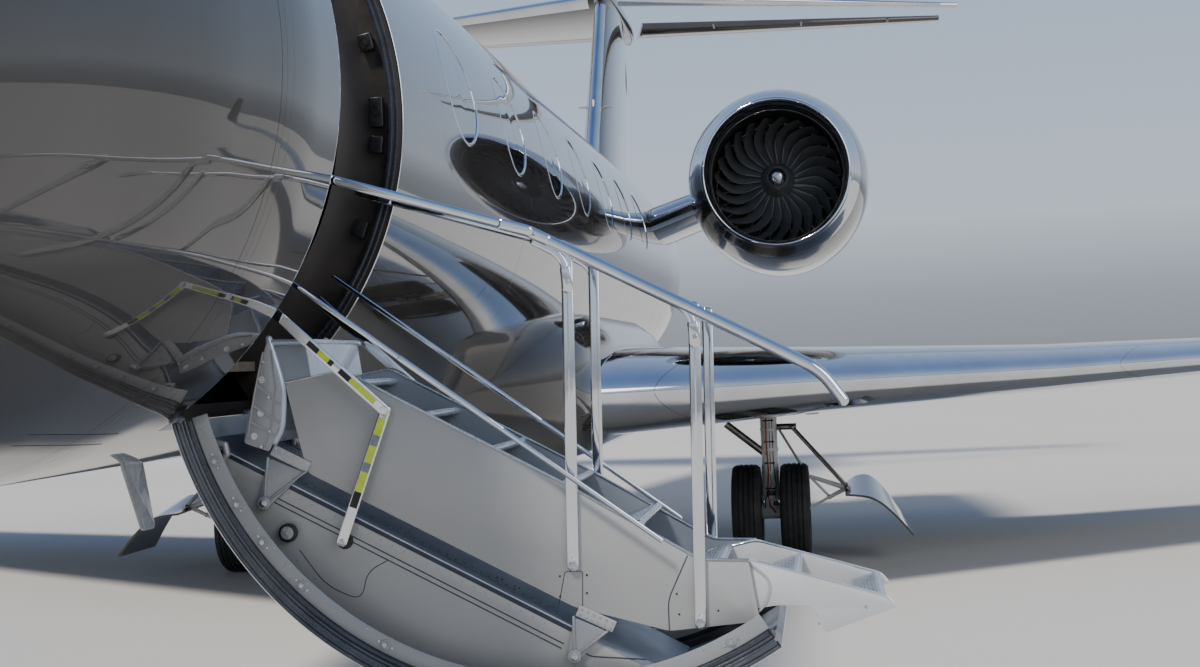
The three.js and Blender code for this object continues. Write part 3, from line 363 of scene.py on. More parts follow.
def surfaced(name, dark, light, rough, grain, relief=0.0, stretch=None, **sockets):
    """A finish with cloudy colour and sheen, and a fine relief where it has one."""
    material, shader = new_material(name, **sockets)
    links = material.node_tree.links
    cloud = noise(material, grain * 0.2, 4, stretch)
    links.new(blend_colours(material, cloud, dark, light), shader.inputs["Base Color"])
    links.new(spread_values(material, noise(material, grain, 5, stretch), *rough),
              shader.inputs["Roughness"])
    if relief:
        bumped(material, shader, noise(material, grain * 3, 2, stretch), 0.5, relief / 1000)
    return material


bronze = surfaced("polished_bronze_paint", (0.052, 0.047, 0.043), (0.072, 0.065, 0.06), (0.05, 0.09),
                  6, metallic=0.22, specular_ior_level=0.05, coat_weight=1.0, coat_roughness=0.01,
                  coat_ior=1.5)
chrome = surfaced("polished_metal", (0.72, 0.73, 0.75), (0.82, 0.83, 0.85), (0.035, 0.1), 30,
                  metallic=1.0)
bright_edge = surfaced("polished_leading_edge", (0.62, 0.64, 0.67), (0.74, 0.76, 0.79), (0.03, 0.08), 9,
                       metallic=1.0)
panel_grey = surfaced("stair_panel_paint", (0.345, 0.345, 0.34), (0.385, 0.385, 0.38), (0.3, 0.38), 5,
                      relief=0.03, metallic=0.15, coat_weight=0.3)
# A darker, bluer copy of the stair panel grey for the faces inside the stair and the door: painted shade.
painted_shade_grey = surfaced("stair_painted_shade", (0.20, 0.225, 0.255), (0.24, 0.265, 0.30), (0.3, 0.42), 10,
                     relief=0.05, metallic=0.15)
rim_grey = surfaced("door_rim_paint", (0.25, 0.258, 0.265), (0.30, 0.308, 0.315), (0.26, 0.34), 12,
                    relief=0.04, metallic=0.3, coat_weight=0.2)
seal_rubber = surfaced("seal_rubber", (0.014, 0.017, 0.026), (0.032, 0.038, 0.054), (0.2, 0.32), 60,
                       relief=0.1, stretch=(1, 6, 1), coat_weight=0.4)
jamb_brown = surfaced("jamb_lining", (0.026, 0.021, 0.018), (0.042, 0.034, 0.029), (0.32, 0.42), 40,
                      relief=0.3)
black_fitting = surfaced("black_fitting", (0.01, 0.01, 0.011), (0.025, 0.025, 0.027), (0.25, 0.45), 80,
                         relief=0.1, metallic=0.3)
tyre_rubber = surfaced("tyre_rubber", (0.012, 0.012, 0.013), (0.03, 0.03, 0.03), (0.6, 0.85), 45,
                       relief=0.5)
gear_grey = surfaced("gear_enamel", (0.62, 0.62, 0.61), (0.70, 0.70, 0.69), (0.24, 0.36), 20, relief=0.05,
                     coat_weight=0.4)
strut_brown = surfaced("door_rod_metal", (0.2, 0.18, 0.16), (0.34, 0.31, 0.28), (0.15, 0.3), 40,
                       metallic=0.9)
blade_metal = surfaced("fan_blade_metal", (0.16, 0.165, 0.175), (0.23, 0.235, 0.245), (0.28, 0.38), 30,
                       metallic=0.35, coat_weight=0.3)
core_steel = surfaced("exhaust_steel", (0.2, 0.18, 0.16), (0.34, 0.31, 0.29), (0.25, 0.45), 20,
                      metallic=1.0, relief=0.1)
liner_dark = surfaced("duct_liner", (0.02, 0.022, 0.025), (0.05, 0.055, 0.06), (0.3, 0.5), 60,
                      relief=0.2, metallic=0.4)
machined = surfaced("machined_alloy", (0.42, 0.44, 0.46), (0.6, 0.62, 0.64), (0.16, 0.36), 60,
                    metallic=1.0, relief=0.05, stretch=(1, 1, 8))
hose_red = surfaced("hose_red", (0.3, 0.015, 0.012), (0.42, 0.03, 0.02), (0.35, 0.5), 60, relief=0.1)
safety_yellow = surfaced("reflective_yellow", (0.5, 0.62, 0.03), (0.62, 0.75, 0.06), (0.3, 0.5), 120,
                         relief=0.15)
band_grey = surfaced("reflective_grey", (0.16, 0.18, 0.22), (0.22, 0.25, 0.3), (0.3, 0.5), 120,
                     relief=0.15)
leather = surfaced("seat_leather", (0.42, 0.33, 0.23), (0.52, 0.42, 0.31), (0.45, 0.6), 35, relief=0.6)
carpet = surfaced("cabin_carpet", (0.16, 0.13, 0.1), (0.26, 0.22, 0.18), (0.85, 0.95), 160, relief=1.5)
walnut = surfaced("cabinet_veneer", (0.07, 0.035, 0.018), (0.16, 0.085, 0.045), (0.15, 0.25), 12,
                  stretch=(1, 1, 9), coat_weight=0.8)
lining_cream = surfaced("cabin_lining", (0.5, 0.46, 0.4), (0.58, 0.54, 0.48), (0.6, 0.75), 50, relief=0.3)
lamp_white = surfaced("lamp_lens", (0.75, 0.76, 0.76), (0.88, 0.89, 0.89), (0.08, 0.15), 40,
                      coat_weight=0.6)
seal_ribs = surfaced("ribbed_door_seal", (0.03, 0.035, 0.045), (0.075, 0.085, 0.105), (0.16, 0.3), 40,
                     relief=0.1, metallic=0.35, coat_weight=0.5)
seam_dark = surfaced("panel_seam", (0.012, 0.016, 0.03), (0.03, 0.038, 0.06), (0.3, 0.5), 80, relief=0.05)
tube_blue = surfaced("step_tube_paint", (0.36, 0.40, 0.46), (0.44, 0.49, 0.56), (0.16, 0.28), 40,
                     relief=0.05, metallic=0.35, coat_weight=0.5)
# The extension's grey is lighter than the flight's panel grey of the same stair paint: painted sunlight.
extension_painted_sunlight = surfaced("extension_painted_sunlight", (0.47, 0.475, 0.475), (0.53, 0.535, 0.535), (0.3, 0.42), 25,
                           relief=0.08, coat_weight=0.25)
composite_grey = surfaced("antenna_paint", (0.3, 0.32, 0.35), (0.4, 0.42, 0.45), (0.2, 0.35), 30, relief=0.1,
                          coat_weight=0.6)


def glass_material():
    material, shader = new_material("tinted_glass", roughness=0.015, transmission_weight=0.55, ior=1.5,
                                    coat_weight=0.8, coat_roughness=0.01, metallic=0.25)
    cloud = noise(material, 1.4, 2)
    colour = blend_colours(material, cloud, (0.05, 0.058, 0.066), (0.08, 0.09, 0.10))
    material.node_tree.links.new(colour, shader.inputs["Base Color"])
    return material


tinted = glass_material()


# Fuselage skins with the doorway, windows and windscreen

def hull_point(station, angle, inset=0.0):
    """A point of the skin: angle 0 is the port side and 90 the crown, in degrees."""
    half, top, bottom = row_at(HULL_ROWS, station)
    c, s = math.cos(math.radians(angle)), math.sin(math.radians(angle))
    return at((half - inset) * c, station, (top + bottom) / 2 + ((top - bottom) / 2 - inset) * s)


def hull_angles(steps=(44, 100)):
    low, high = DOORWAY["low"], DOORWAY["high"]
    return spread([low, high, low + 360], steps)


def in_doorway(station, angle):
    return DOORWAY["from"] < station < DOORWAY["to"] and DOORWAY["low"] < angle < DOORWAY["high"]


def window_stations():
    return [WINDOW["first"] + k * WINDOW["pitch"] for k in range(WINDOW["count"])]


def oval_outline(station, grow, steps=64):
    turns = [2 * math.pi * k / steps for k in range(steps)]
    long, high = WINDOW["long"] + grow, WINDOW["high"] + grow
    return [(station + long * math.cos(t), WINDOW["z"] + high * math.sin(t)) for t in turns]


def as_cutter(name, *parts):
    mesh = bpy.data.meshes.new(name)
    whole = joined(*parts)
    whole.to_mesh(mesh)
    whole.free()
    obj = bpy.data.objects.new(name, mesh)
    bpy.context.scene.collection.objects.link(obj)
    return obj


FRONT_PANE = [(40, 2150), (620, 2450), (600, 3180), (40, 3050)]
SIDE_PANES = [
    [(2600, 3330), (2640, 3430), (3250, 3800), (3430, 3780), (3430, 3330)],
    [(3500, 3330), (3500, 3770), (3800, 3690), (3950, 3420), (3900, 3330)],
]


def grown(outline, distance):
    middle = sum((Vector(p) for p in outline), Vector((0, 0))) / len(outline)
    return [tuple(Vector(p) + (Vector(p) - middle).normalized() * distance) for p in outline]


def pane_blocks(grow, corner=45):
    blocks = []
    for sign, _ in SIDES:
        front = rounded_outline(grown(FRONT_PANE, grow), corner)
        blocks.append(plate([(sign * x, s) for x, s in front], 3000, 4400, "z"))
        for pane in SIDE_PANES:
            outline = rounded_outline(grown(pane, grow), corner)
            blocks.append(plate(outline, sign * 650, sign * 1600, "x"))
    return blocks


def rounded_outline(outline, radius, steps=5):
    """A closed outline with its corners turned into arcs."""
    points = []
    count = len(outline)
    for k in range(count):
        before, corner, after = (Vector(outline[(k + d) % count]) for d in (-1, 0, 1))
        reach = min(radius, (before - corner).length * 0.4, (after - corner).length * 0.4)
        start = corner + (before - corner).normalized() * reach
        end = corner + (after - corner).normalized() * reach
        for i in range(steps + 1):
            t = i / steps
            points.append(tuple(start * (1 - t) ** 2 + corner * 2 * t * (1 - t) + end * t ** 2))
    return points


def add_hull():
    sections = [
        ("nose_radome", [3, 250, 1299.5], [14, 26], "composite_paint"),
        ("cockpit_shell", [1300.5, 4299.5], [60], "body_paint"),
        ("forward_cabin_shell", [4300.5, 4850, 5800, 6599.5], [12, 20, 16], "body_paint"),
        ("cabin_shell", [6600.5, 18499.5], [170], "body_paint"),
        ("rear_fuselage", [18500.5, 28599], [120], "body_paint"),
    ]
    for node, stops, steps, paint_slot in sections:
        cut = None
        if node == "cabin_shell":
            ovals = [plate(oval_outline(s, 3), sign * 900, sign * 1600, "x")
                     for s in window_stations() for sign, _ in SIDES]
            cut = as_cutter("window_openings", *ovals)
        if node == "cockpit_shell":
            cut = as_cutter("windscreen_openings", *pane_blocks(3))
        bm = surface(spread(stops, steps), hull_angles(), hull_point,
                     keep=lambda s, a: not in_doorway(s, a), closed=True)
        bmesh.ops.recalc_face_normals(bm, faces=bm.faces)
        if node == "nose_radome":
            front = min(bm.verts, key=lambda v: v.co.y).co.y
            edges = [e for e in bm.edges if e.is_boundary and e.verts[0].co.y < front + 0.01]
            bmesh.ops.holes_fill(bm, edges=edges, sides=0)
            bmesh.ops.recalc_face_normals(bm, faces=bm.faces)
        wall = 45 if node == "rear_fuselage" else SKIN_WALL
        piece(f"{node}_skin", bm, bronze, "airframe", [node], paint_slot, thick=wall, cut=cut)


# Across a window rim: part of the window's half width, and how deep under the skin
RIM_SECTION = [(0.95, 6), (0.955, 1), (0.975, -2), (1.0, -1.5), (1.012, 1), (1.004, 18), (0.95, 18)]
PANE_PARTS = [0.001, 0.25, 0.5, 0.75, 0.9, 0.952]
PANE_DEPTH, LINER_DEPTH = 4, 64


def add_windows():
    """Each window: a polished rim, a pane just inside the skin and a pale liner behind it."""
    turns = [2 * math.pi * k / 72 for k in range(73)]
    for sign, side in SIDES:
        panes, liners, rims = [], [], []
        for station in window_stations():
            def spot(r, t, sunk, station=station):
                z = WINDOW["z"] + WINDOW["high"] * r * math.sin(t)
                reach = math.sqrt((HULL_RADIUS - sunk) ** 2 - (z - HULL_CENTRE) ** 2)
                return at(sign * reach, station + WINDOW["long"] * r * math.cos(t), z)
            pane = surface(PANE_PARTS, turns, lambda r, t: spot(r, t, PANE_DEPTH), closed=True)
            bmesh.ops.recalc_face_normals(pane, faces=pane.faces)
            panes.append(pane)
            rims.append(surface(RIM_SECTION, turns, lambda p, t: spot(p[0], t, p[1]), closed=True))
            liners.append(surface([0.975, 1.12], turns, lambda r, t: spot(r, t, LINER_DEPTH), closed=True))
        glass = joined(*panes)
        outward = [f for f in glass.faces if f.normal.x * sign < 0]
        bmesh.ops.reverse_faces(glass, faces=outward)
        piece(f"cabin_panes_{side}", glass, tinted, "airframe", [f"cabin_glass_{side}"], "glass", thick=9)
        piece(f"window_rims_{side}", joined(*rims), bright_edge)
        piece(f"window_liners_{side}", joined(*liners), lining_cream)


def add_windscreen():
    stations = spread([2080, 4030], [70])
    angles = spread([5, 175], [120])
    bm = surface(stations, angles, lambda s, a: hull_point(s, a, 6))
    bmesh.ops.recalc_face_normals(bm, faces=bm.faces)
    inside = [f for f in bm.faces if f.normal.z < 0]
    bmesh.ops.reverse_faces(bm, faces=inside)
    keep_panes = as_cutter("windscreen_shapes", *pane_blocks(-3))
    pane = piece("windscreen_panes", bm, tinted, "airframe", ["windshield_glass"], "glass", thick=14)
    shape = pane.modifiers.new("shape", "BOOLEAN")
    shape.object = keep_panes
    shape.operation = "INTERSECT"
    graph = bpy.context.evaluated_depsgraph_get()
    baked = bpy.data.meshes.new_from_object(pane.evaluated_get(graph))
    pane.modifiers.clear()
    pane.data = baked
    baked.shade_smooth()
    baked.set_sharp_from_angle(angle=math.radians(35))
    bpy.data.objects.remove(keep_panes)


# Doorway jamb, seals and latch blocks

def sector_strip(station0, station1, radius0, radius1, low, high, steps=60, centre=(0, HULL_CENTRE)):
    """A strip across a round wall from one radius and station to another, along an arc."""
    def place(k, a):
        radius = radius0 + (radius1 - radius0) * k
        c, s = math.cos(math.radians(a)), math.sin(math.radians(a))
        return at(centre[0] + radius * c, station0 + (station1 - station0) * k, centre[1] + radius * s)
    return surface([0.0, 1.0], spread([low, high], [steps]), place)


def arc_tube(section, low, high, centre=(0, HULL_CENTRE), steps=72):
    """A closed section of (radius, station) pairs swept along an arc about the fore-aft line."""
    loop = section + section[:1]

    def place(k, a):
        radius, station = loop[int(k)]
        c, s = math.cos(math.radians(a)), math.sin(math.radians(a))
        return at(centre[0] + radius * c, station, centre[1] + radius * s)
    bm = surface(list(range(len(loop))), spread([low, high], [steps]), place, closed=True)
    bmesh.ops.holes_fill(bm, edges=[e for e in bm.edges if e.is_boundary], sides=0)
    bmesh.ops.recalc_face_normals(bm, faces=bm.faces)
    return bm


def oval_section(radius, station, half_r, half_s, steps=10):
    turns = [2 * math.pi * k / steps for k in range(steps)]
    return [(radius + half_r * math.cos(t), station + half_s * math.sin(t)) for t in turns]


LATCHES = [
    # angle about the hull and half height
    (47.4, 34), (34.6, 34), (13, 34), (0.2, 60), (-5.6, 34), (-21, 34),
]


def station_rod(point, near, far, radius, sides, far_radius=None):
    """A rod that runs fore and aft through a point of the cross view."""
    x, z = point
    return rod(at(x, near, z), at(x, far, z), radius, sides, far_radius)


def add_jamb():
    low, high = DOORWAY["low"], DOORWAY["high"]
    lining, seals, edges = [], [], []
    for near, inward in ((DOORWAY["from"], -1), (DOORWAY["to"], 1)):
        shelf = [(1325, near), (1322, near + inward * 40), (1180, near + inward * 42),
                 (1115, near + inward * 10), (1110, near + inward * 60), (1190, near + inward * 75),
                 (1326, near + inward * 60)]
        lining.append(arc_tube(shelf, low, high))
        for r in (1356, 1334):
            seals.append(arc_tube(oval_section(r, near + inward, 9, 4), low + 0.6, high - 0.6))
        edges.append(arc_tube(oval_section(1382, near - inward, 3.5, 3), low, high))
    piece("jamb_lining", joined(*lining), jamb_brown)
    piece("jamb_seals", joined(*seals), seal_rubber)
    piece("jamb_bright_edges", joined(*edges), chrome)
    latches = []
    for angle, high_by in LATCHES:
        turn = Matrix.Rotation(-math.radians(angle), 4, "Y")
        for edge, inward in (("from", -1), ("to", 1)):
            station = DOORWAY[edge]
            ends = sorted((station + inward * 30, station - inward * 6))
            housing = rounded(block(1246, 1302, *ends, -high_by, high_by), 5, 3)
            latches.append(turned_about_hull(housing, turn))
            for off in (-high_by * 0.55, high_by * 0.55):
                screw = station_rod((1264, off), station - inward * 5, station - inward * 10, 7, 12)
                latches.append(turned_about_hull(screw, turn))
            boss = station_rod((1276, 0), station - inward * 5, station - inward * 11, 15, 20)
            latches.append(turned_about_hull(boss, turn))
    piece("jamb_latches", joined(*latches), black_fitting)
    sill = arc_tube([(1386, 4880), (1386, 5770), (1376, 5770), (1376, 4880)],
                    low - 2.6, low - 0.5, steps=4)
    piece("sill_strip", sill, machined)


def turned_about_hull(bm, turn):
    """A fitting drawn beside the port wall, turned about the hull's centre line."""
    bmesh.ops.transform(bm, matrix=turn, verts=bm.verts)
    bmesh.ops.translate(bm, verts=bm.verts, vec=(0, 0, HULL_CENTRE / 1000))
    return bm


# Airstair door, drawn open about the sill hinge

SILL = (731, 1754)
OPEN_TURN = -107.8
DOOR_MIDDLE = (DOORWAY["from"] + DOORWAY["to"]) / 2
DOOR_EDGE = 9
LANES = {
    # front and back of each layer on the front side, as stations
    "rail_upper": (4876, 4886), "push_rod": (4891, 4901), "stay_upper": (4906, 4916),
    "stay_lower": (4921, 4931), "handrail": (4936, 4946), "post": (4951, 4961),
    "panel": (4966, 4982), "extension": (4988, 5000),
}


def turned_about(point, centre, degrees):
    turn = math.radians(degrees)
    u, v = point[0] - centre[0], point[1] - centre[1]
    return (centre[0] + u * math.cos(turn) - v * math.sin(turn),
            centre[1] + u * math.sin(turn) + v * math.cos(turn))


OPEN_CENTRE = turned_about((0, HULL_CENTRE), SILL, OPEN_TURN)
EDGE_ANGLE = math.degrees(DOOR_EDGE / HULL_RADIUS)
DOOR_LOW = DOORWAY["low"] + OPEN_TURN + EDGE_ANGLE
DOOR_HIGH = DOORWAY["high"] + OPEN_TURN - EDGE_ANGLE
STRIP_FOOT, STRIP_WAY = Vector((1624.7, 1245.4)), Vector((0.883, -0.4695))


def on_strip(along, off):
    """A point beside the chord of the door's inner box, off it towards the steps."""
    spot = STRIP_FOOT + STRIP_WAY * along + Vector((-STRIP_WAY.y, STRIP_WAY.x)) * off
    return (spot.x, spot.y)


def door_point(radius, angle):
    turn = math.radians(angle)
    return (OPEN_CENTRE[0] + radius * math.cos(turn), OPEN_CENTRE[1] + radius * math.sin(turn))


def at_both_ends(bm):
    """The fittings of the front end, with their mirror image at the rear end of the door."""
    copy = bm.copy()
    middle = (DOOR_MIDDLE - NOSE_STATION) / 1000
    bmesh.ops.scale(copy, vec=(1, -1, 1), verts=copy.verts)
    bmesh.ops.translate(copy, verts=copy.verts, vec=(0, 2 * middle, 0))
    bmesh.ops.reverse_faces(copy, faces=copy.faces)
    return joined(bm, copy)


def door_tube(section, low=DOOR_LOW, high=DOOR_HIGH, steps=80):
    return arc_tube(section, low, high, OPEN_CENTRE, steps)


def bolt_head(point, station, radius=6, high=4, sides=6):
    spot = at(point[0], station, point[1])
    return rod(spot, spot + Vector((0, -high / 1000, 0)), radius, sides, radius * 0.85)


def ring_outline(centre, radius, steps=40):
    turns = [2 * math.pi * k / steps for k in range(steps)]
    return [(centre[0] + radius * math.cos(t), centre[1] + radius * math.sin(t)) for t in turns]


def line_strip(points, half, station, proud=1.0):
    """A thin line or seam lying on a side panel, along a path in the cross view."""
    return bar([Vector(p) for p in points], half, proud, station, roundness=0.5, ends=False, sides=8)


RIM_BOLT_ANGLES = (202, 209.6, 216.7, 225.8, 241.8, 256, 270, 284, 297)


def add_door():
    near, far = DOORWAY["from"] + DOOR_EDGE, DOORWAY["to"] - DOOR_EDGE
    skin = sector_strip(near, far, 1385, 1385, DOOR_LOW, DOOR_HIGH, 90, OPEN_CENTRE)
    bmesh.ops.recalc_face_normals(skin, faces=skin.faces)
    inward = []
    for face in skin.faces:
        middle = face.calc_center_median()
        if face.normal.dot(middle - Vector((OPEN_CENTRE[0] / 1000, middle.y, OPEN_CENTRE[1] / 1000))) < 0:
            inward.append(face)
    bmesh.ops.reverse_faces(skin, faces=inward)
    piece("airstair_skin", skin, bronze, "airstair", ["airstair_door"], "body_paint", thick=5)
    inner = door_tube([(1379, near + 2), (1379, far - 2), (1345, far - 2), (1345, near + 2)])
    piece("airstair_inner_skin", inner, painted_shade_grey, "airstair")

    base = door_tube([(1382, near + 1), (1382, near + 16), (1308, near + 16), (1308, near + 4)])
    piece("airstair_rim_base", at_both_ends(base), black_fitting, "airstair")
    ribs = [door_tube(oval_section(r, near + 2, 5.4, 5), DOOR_LOW + 0.2, DOOR_HIGH - 0.2)
            for r in (1377, 1363.5, 1350, 1336.5)]
    piece("airstair_rim_seals", at_both_ends(joined(*ribs)), seal_ribs, "airstair")
    line = door_tube(oval_section(1321, near + 3, 9, 6), DOOR_LOW + 0.4, DOOR_HIGH - 0.4)
    piece("airstair_rim_bulb", at_both_ends(line), seal_rubber, "airstair")
    edge = door_tube(oval_section(1383.5, near + 1, 1.8, 2.5))
    piece("airstair_rim_edge", at_both_ends(edge), chrome, "airstair")
    flange = door_tube([(1310, near + 6), (1310, near + 12), (1252, near + 12), (1252, near + 6)])
    piece("airstair_rim_flange", at_both_ends(rounded(flange, 1.5, 2)), rim_grey, "airstair")
    ledge = door_tube([(1346, near + 12), (1346, near + 100), (1322, near + 100), (1322, near + 12)])
    piece("airstair_rim_trough", at_both_ends(ledge), black_fitting, "airstair")

    fittings, plates = [], []
    for angle in RIM_BOLT_ANGLES:
        centre = door_point(1281, angle)
        for spin in (-1.15, 1.15):
            fittings.append(bolt_head(door_point(1281, angle + spin), near + 6, 5.5, 4))
        plates.append(rounded(plate(ring_outline(centre, 19, 8), near + 2.5, near + 6), 1.2, 1))
        fittings.append(bolt_head(centre, near + 3, 10, 9, 16))
        fittings.append(station_rod(centre, near - 6, near - 10, 5, 6))
    for k in range(26):
        fittings.append(bolt_head(door_point(1264, 199 + k * 3.9), near + 6, 2.6, 1.5, 10))
    piece("airstair_rim_plates", at_both_ends(joined(*plates)), rim_grey, "airstair")
    piece("airstair_rim_bolts", at_both_ends(joined(*fittings)), machined, "airstair")


# Where the chord of the inner box meets the door's skin, in degrees about the open door's centre
BOX_ARC = [197.6, 286.4]


def add_door_box():
    """The D-shaped box inside the door: side panels, inner panel, seams and fittings."""
    near, back = LANES["panel"]
    arc = [door_point(1350, angle) for angle in spread(BOX_ARC, [40])]
    side = rounded(plate(arc, near, back), 2.5, 2, 40)
    piece("door_side_panels", at_both_ends(side), panel_grey, "airstair")
    strip = plate([on_strip(-938, -1), on_strip(938, -1), on_strip(905, -18), on_strip(-905, -18)],
                  near + 2, 2 * DOOR_MIDDLE - near - 2)
    piece("door_inner_panel", strip, painted_shade_grey, "airstair")
    seams = [line_strip([on_strip(-905, -7), on_strip(560, -7)], 7, near - 0.5, 1.6),
             line_strip([on_strip(-640, -62), on_strip(540, -62)], 2.2, near - 0.3),
             line_strip([on_strip(-640, -80), on_strip(540, -80)], 2.2, near - 0.3)]
    access = filleted([on_strip(-140, -80), on_strip(-190, -150), on_strip(-160, -250), on_strip(-300, -260),
                       on_strip(-440, -190)], 60)
    seams.append(line_strip(access, 1.6, near - 0.3, 0.8))
    lower = filleted([on_strip(560, -8), on_strip(575, -50), on_strip(640, -60), on_strip(820, 20)], 20)
    seams.append(line_strip(lower, 2.2, near - 0.3))
    piece("door_panel_seams", at_both_ends(joined(*seams)), seam_dark, "airstair")
    bright = line_strip([on_strip(-900, 4), on_strip(560, 4)], 2.6, near - 1.2, 1.8)
    piece("door_bright_line", at_both_ends(bright), tube_blue, "airstair")

    disc, recess = (1112, 1347), (1312, 1313)
    dark = [plate(ring_outline(disc, 33), near - 26, near - 2),
            plate(ring_outline(recess, 30), near - 4, near + 1)]
    piece("door_dark_rings", at_both_ends(rounded(joined(*dark), 3, 2)), black_fitting, "airstair")
    face = joined(plate(ring_outline(disc, 23), near - 30, near - 20), bolt_head(disc, near - 30, 8, 5, 16))
    for k in range(5):
        face = joined(face, bolt_head(turned_about((disc[0] + 16, disc[1]), disc, k * 72), near - 30, 3, 2.5))
    piece("door_disc", at_both_ends(rounded(face, 1, 2)), rim_grey, "airstair")

    rivets = [bolt_head(on_strip(-700 + k * 46, -28), near + 0.5, 3, 1.6, 10) for k in range(26)]
    rivets += [bolt_head(door_point(1262, 222 + k * 4), near + 0.5, 3, 1.6, 10) for k in range(16)]
    piece("door_panel_rivets", at_both_ends(joined(*rivets)), rim_grey, "airstair")

    webs, strips, pins = [], [], []
    for pivot, corners, flange in BRACKETS:
        foot = [(pivot[0] + x, pivot[1] + z) for x, z in ((24, -6), (-4, -26), (-24, 0))]
        outline = rounded_outline([*corners, *foot], 18)
        webs.append(rounded(plate(outline, near - 14, near - 6), 1.5, 2, 50))
        for a, b in ((corners[0], pivot), (corners[1], pivot)):
            webs.append(bar([Vector(a), Vector(b)], 4.5, 10, near - 12, roundness=0.4))
        a, b = Vector(flange[0]), Vector(flange[1])
        way = (b - a).normalized()
        up = Vector((-way.y, way.x))
        strips.append(rounded(strip_along(a, b, 0, 1, 20, near - 7, near - 1), 2, 2))
        for k in range(6):
            for off in (-10, 10):
                spot = a + way * ((b - a).length * (k + 0.5) / 6) + up * off
                pins.append(bolt_head(tuple(spot), near - 7, 4, 3, 8))
        webs.append(rounded(plate(ring_outline(pivot, 24), near - 26, near - 4), 3, 2))
        pins.append(rounded(plate(ring_outline(pivot, 13), near - 30, near - 24), 1.5, 2))
        pins.append(bolt_head(pivot, near - 30, 6, 3))
    piece("door_bracket_webs", at_both_ends(joined(*webs)), rim_grey, "airstair")
    piece("door_bracket_strips", at_both_ends(joined(*strips)), panel_grey, "airstair")
    piece("door_bracket_pins", at_both_ends(joined(*pins)), machined, "airstair")

    necks = []
    for station in (4925, 5725):
        necks.append(pipe([(x, station, z) for x, z in GOOSENECK], 13, 16))
        necks.append(rounded(block(852, 886, station - 24, station + 24, 1540, 1566), 4))
        necks.append(rounded(station_rod(SILL, station - 44, station + 44, 15.5, 28), 2, 2))
    piece("sill_arms", joined(*necks), rim_grey, "airstair")


# Path of the arm that joins the door to the sill hinge
GOOSENECK = [(745, 1745), (800, 1700), (862, 1672), (902, 1664), (908, 1632), (886, 1606), (868, 1560)]
BRACKETS = [
    # round pivot, upper corners of the web, ends of the bolted strip
    ((1030, 1454), ((1048, 1612), (1178, 1556)), ((1062, 1640), (1192, 1572))),
    ((2112, 896), ((2112, 1030), (2226, 978)), ((2126, 1052), (2252, 992))),
]


# Steps between their side panels

FLIGHT_SIDE = [(1113, 1873), (1320, 1911), (2097, 1489), (2555, 1216), (2720, 1210), (2750, 1000),
               (2440, 973), (2115, 1062), (1184, 1555)]
LIP = [(1064, 2030), (1112, 1849), (1100, 1712), (1073, 1667)]
CHEEK = [(1064, 2030), (1050, 1990), (1025, 1885), (985, 1760), (965, 1667), (1056, 1634), (1104, 1741),
         (1110, 1849)]
CHEEK_BOLTS = [(1046, 1950), (1038, 1888), (1062, 1824), (1030, 1770), (1062, 1706), (1004, 1690),
               (1030, 1652)]
PANEL_RIVETS = [(2068, 1170), (2162, 1172), (2160, 1110), (2066, 1100), (2470, 1100), (2476, 1030),
                (2610, 1040)]
NOSINGS = [(1350, 1880), (1594, 1757), (1848, 1631), (2106, 1498), (2364, 1364)]
FAR_NOSINGS = [(2628, 1204), (2891, 1160), (3178, 1086)]
TREAD_TILT, RIB_PITCH = 18, 14
POSTS = [("post_1", (2117, 1206), (2136, 2285)), ("post_2", (2549, 1000), (2568, 2079))]
EXTENSION_SIDE = [(2470, 1000), (2533, 1175), (2722, 1212), (3188, 1075), (3216, 1038), (2970, 952),
                  (2930, 1045), (2806, 1050)]


def tread_point(nosing, back, down):
    return turned_about((nosing[0] - back, nosing[1] - down), nosing, TREAD_TILT)


def add_steps(name, nosings, deep, lane, body):
    """Treads with a round nosing tube, fine ribs and a turned-down back edge."""
    front = lane[1] + 1
    rear = 2 * DOOR_MIDDLE - lane[1] - 1
    tubes, sheets, ribs = [], [], []
    for nosing in nosings:
        tubes.append(station_rod(tread_point(nosing, 15, 14), front, rear, 14, 28))
        sheet = [(14, 3), (deep, 3), (deep, 25), (deep - 4, 25), (deep - 4, 7), (14, 7)]
        sheets.append(plate([tread_point(nosing, *p) for p in sheet], front, rear))
        for k in range(int(deep / RIB_PITCH) - 3):
            back = 36 + k * RIB_PITCH
            rib = [(back, 3.4), (back + 6, 3.4), (back + 5, 0.4), (back + 1, 0.4)]
            ribs.append(plate([tread_point(nosing, *p) for p in rib], front + 12, rear - 12))
    piece(f"{name}_nosings", joined(*tubes), tube_blue, body)
    piece(f"{name}_treads", joined(*sheets), painted_shade_grey, body)
    piece(f"{name}_ribs", joined(*ribs), machined, body)


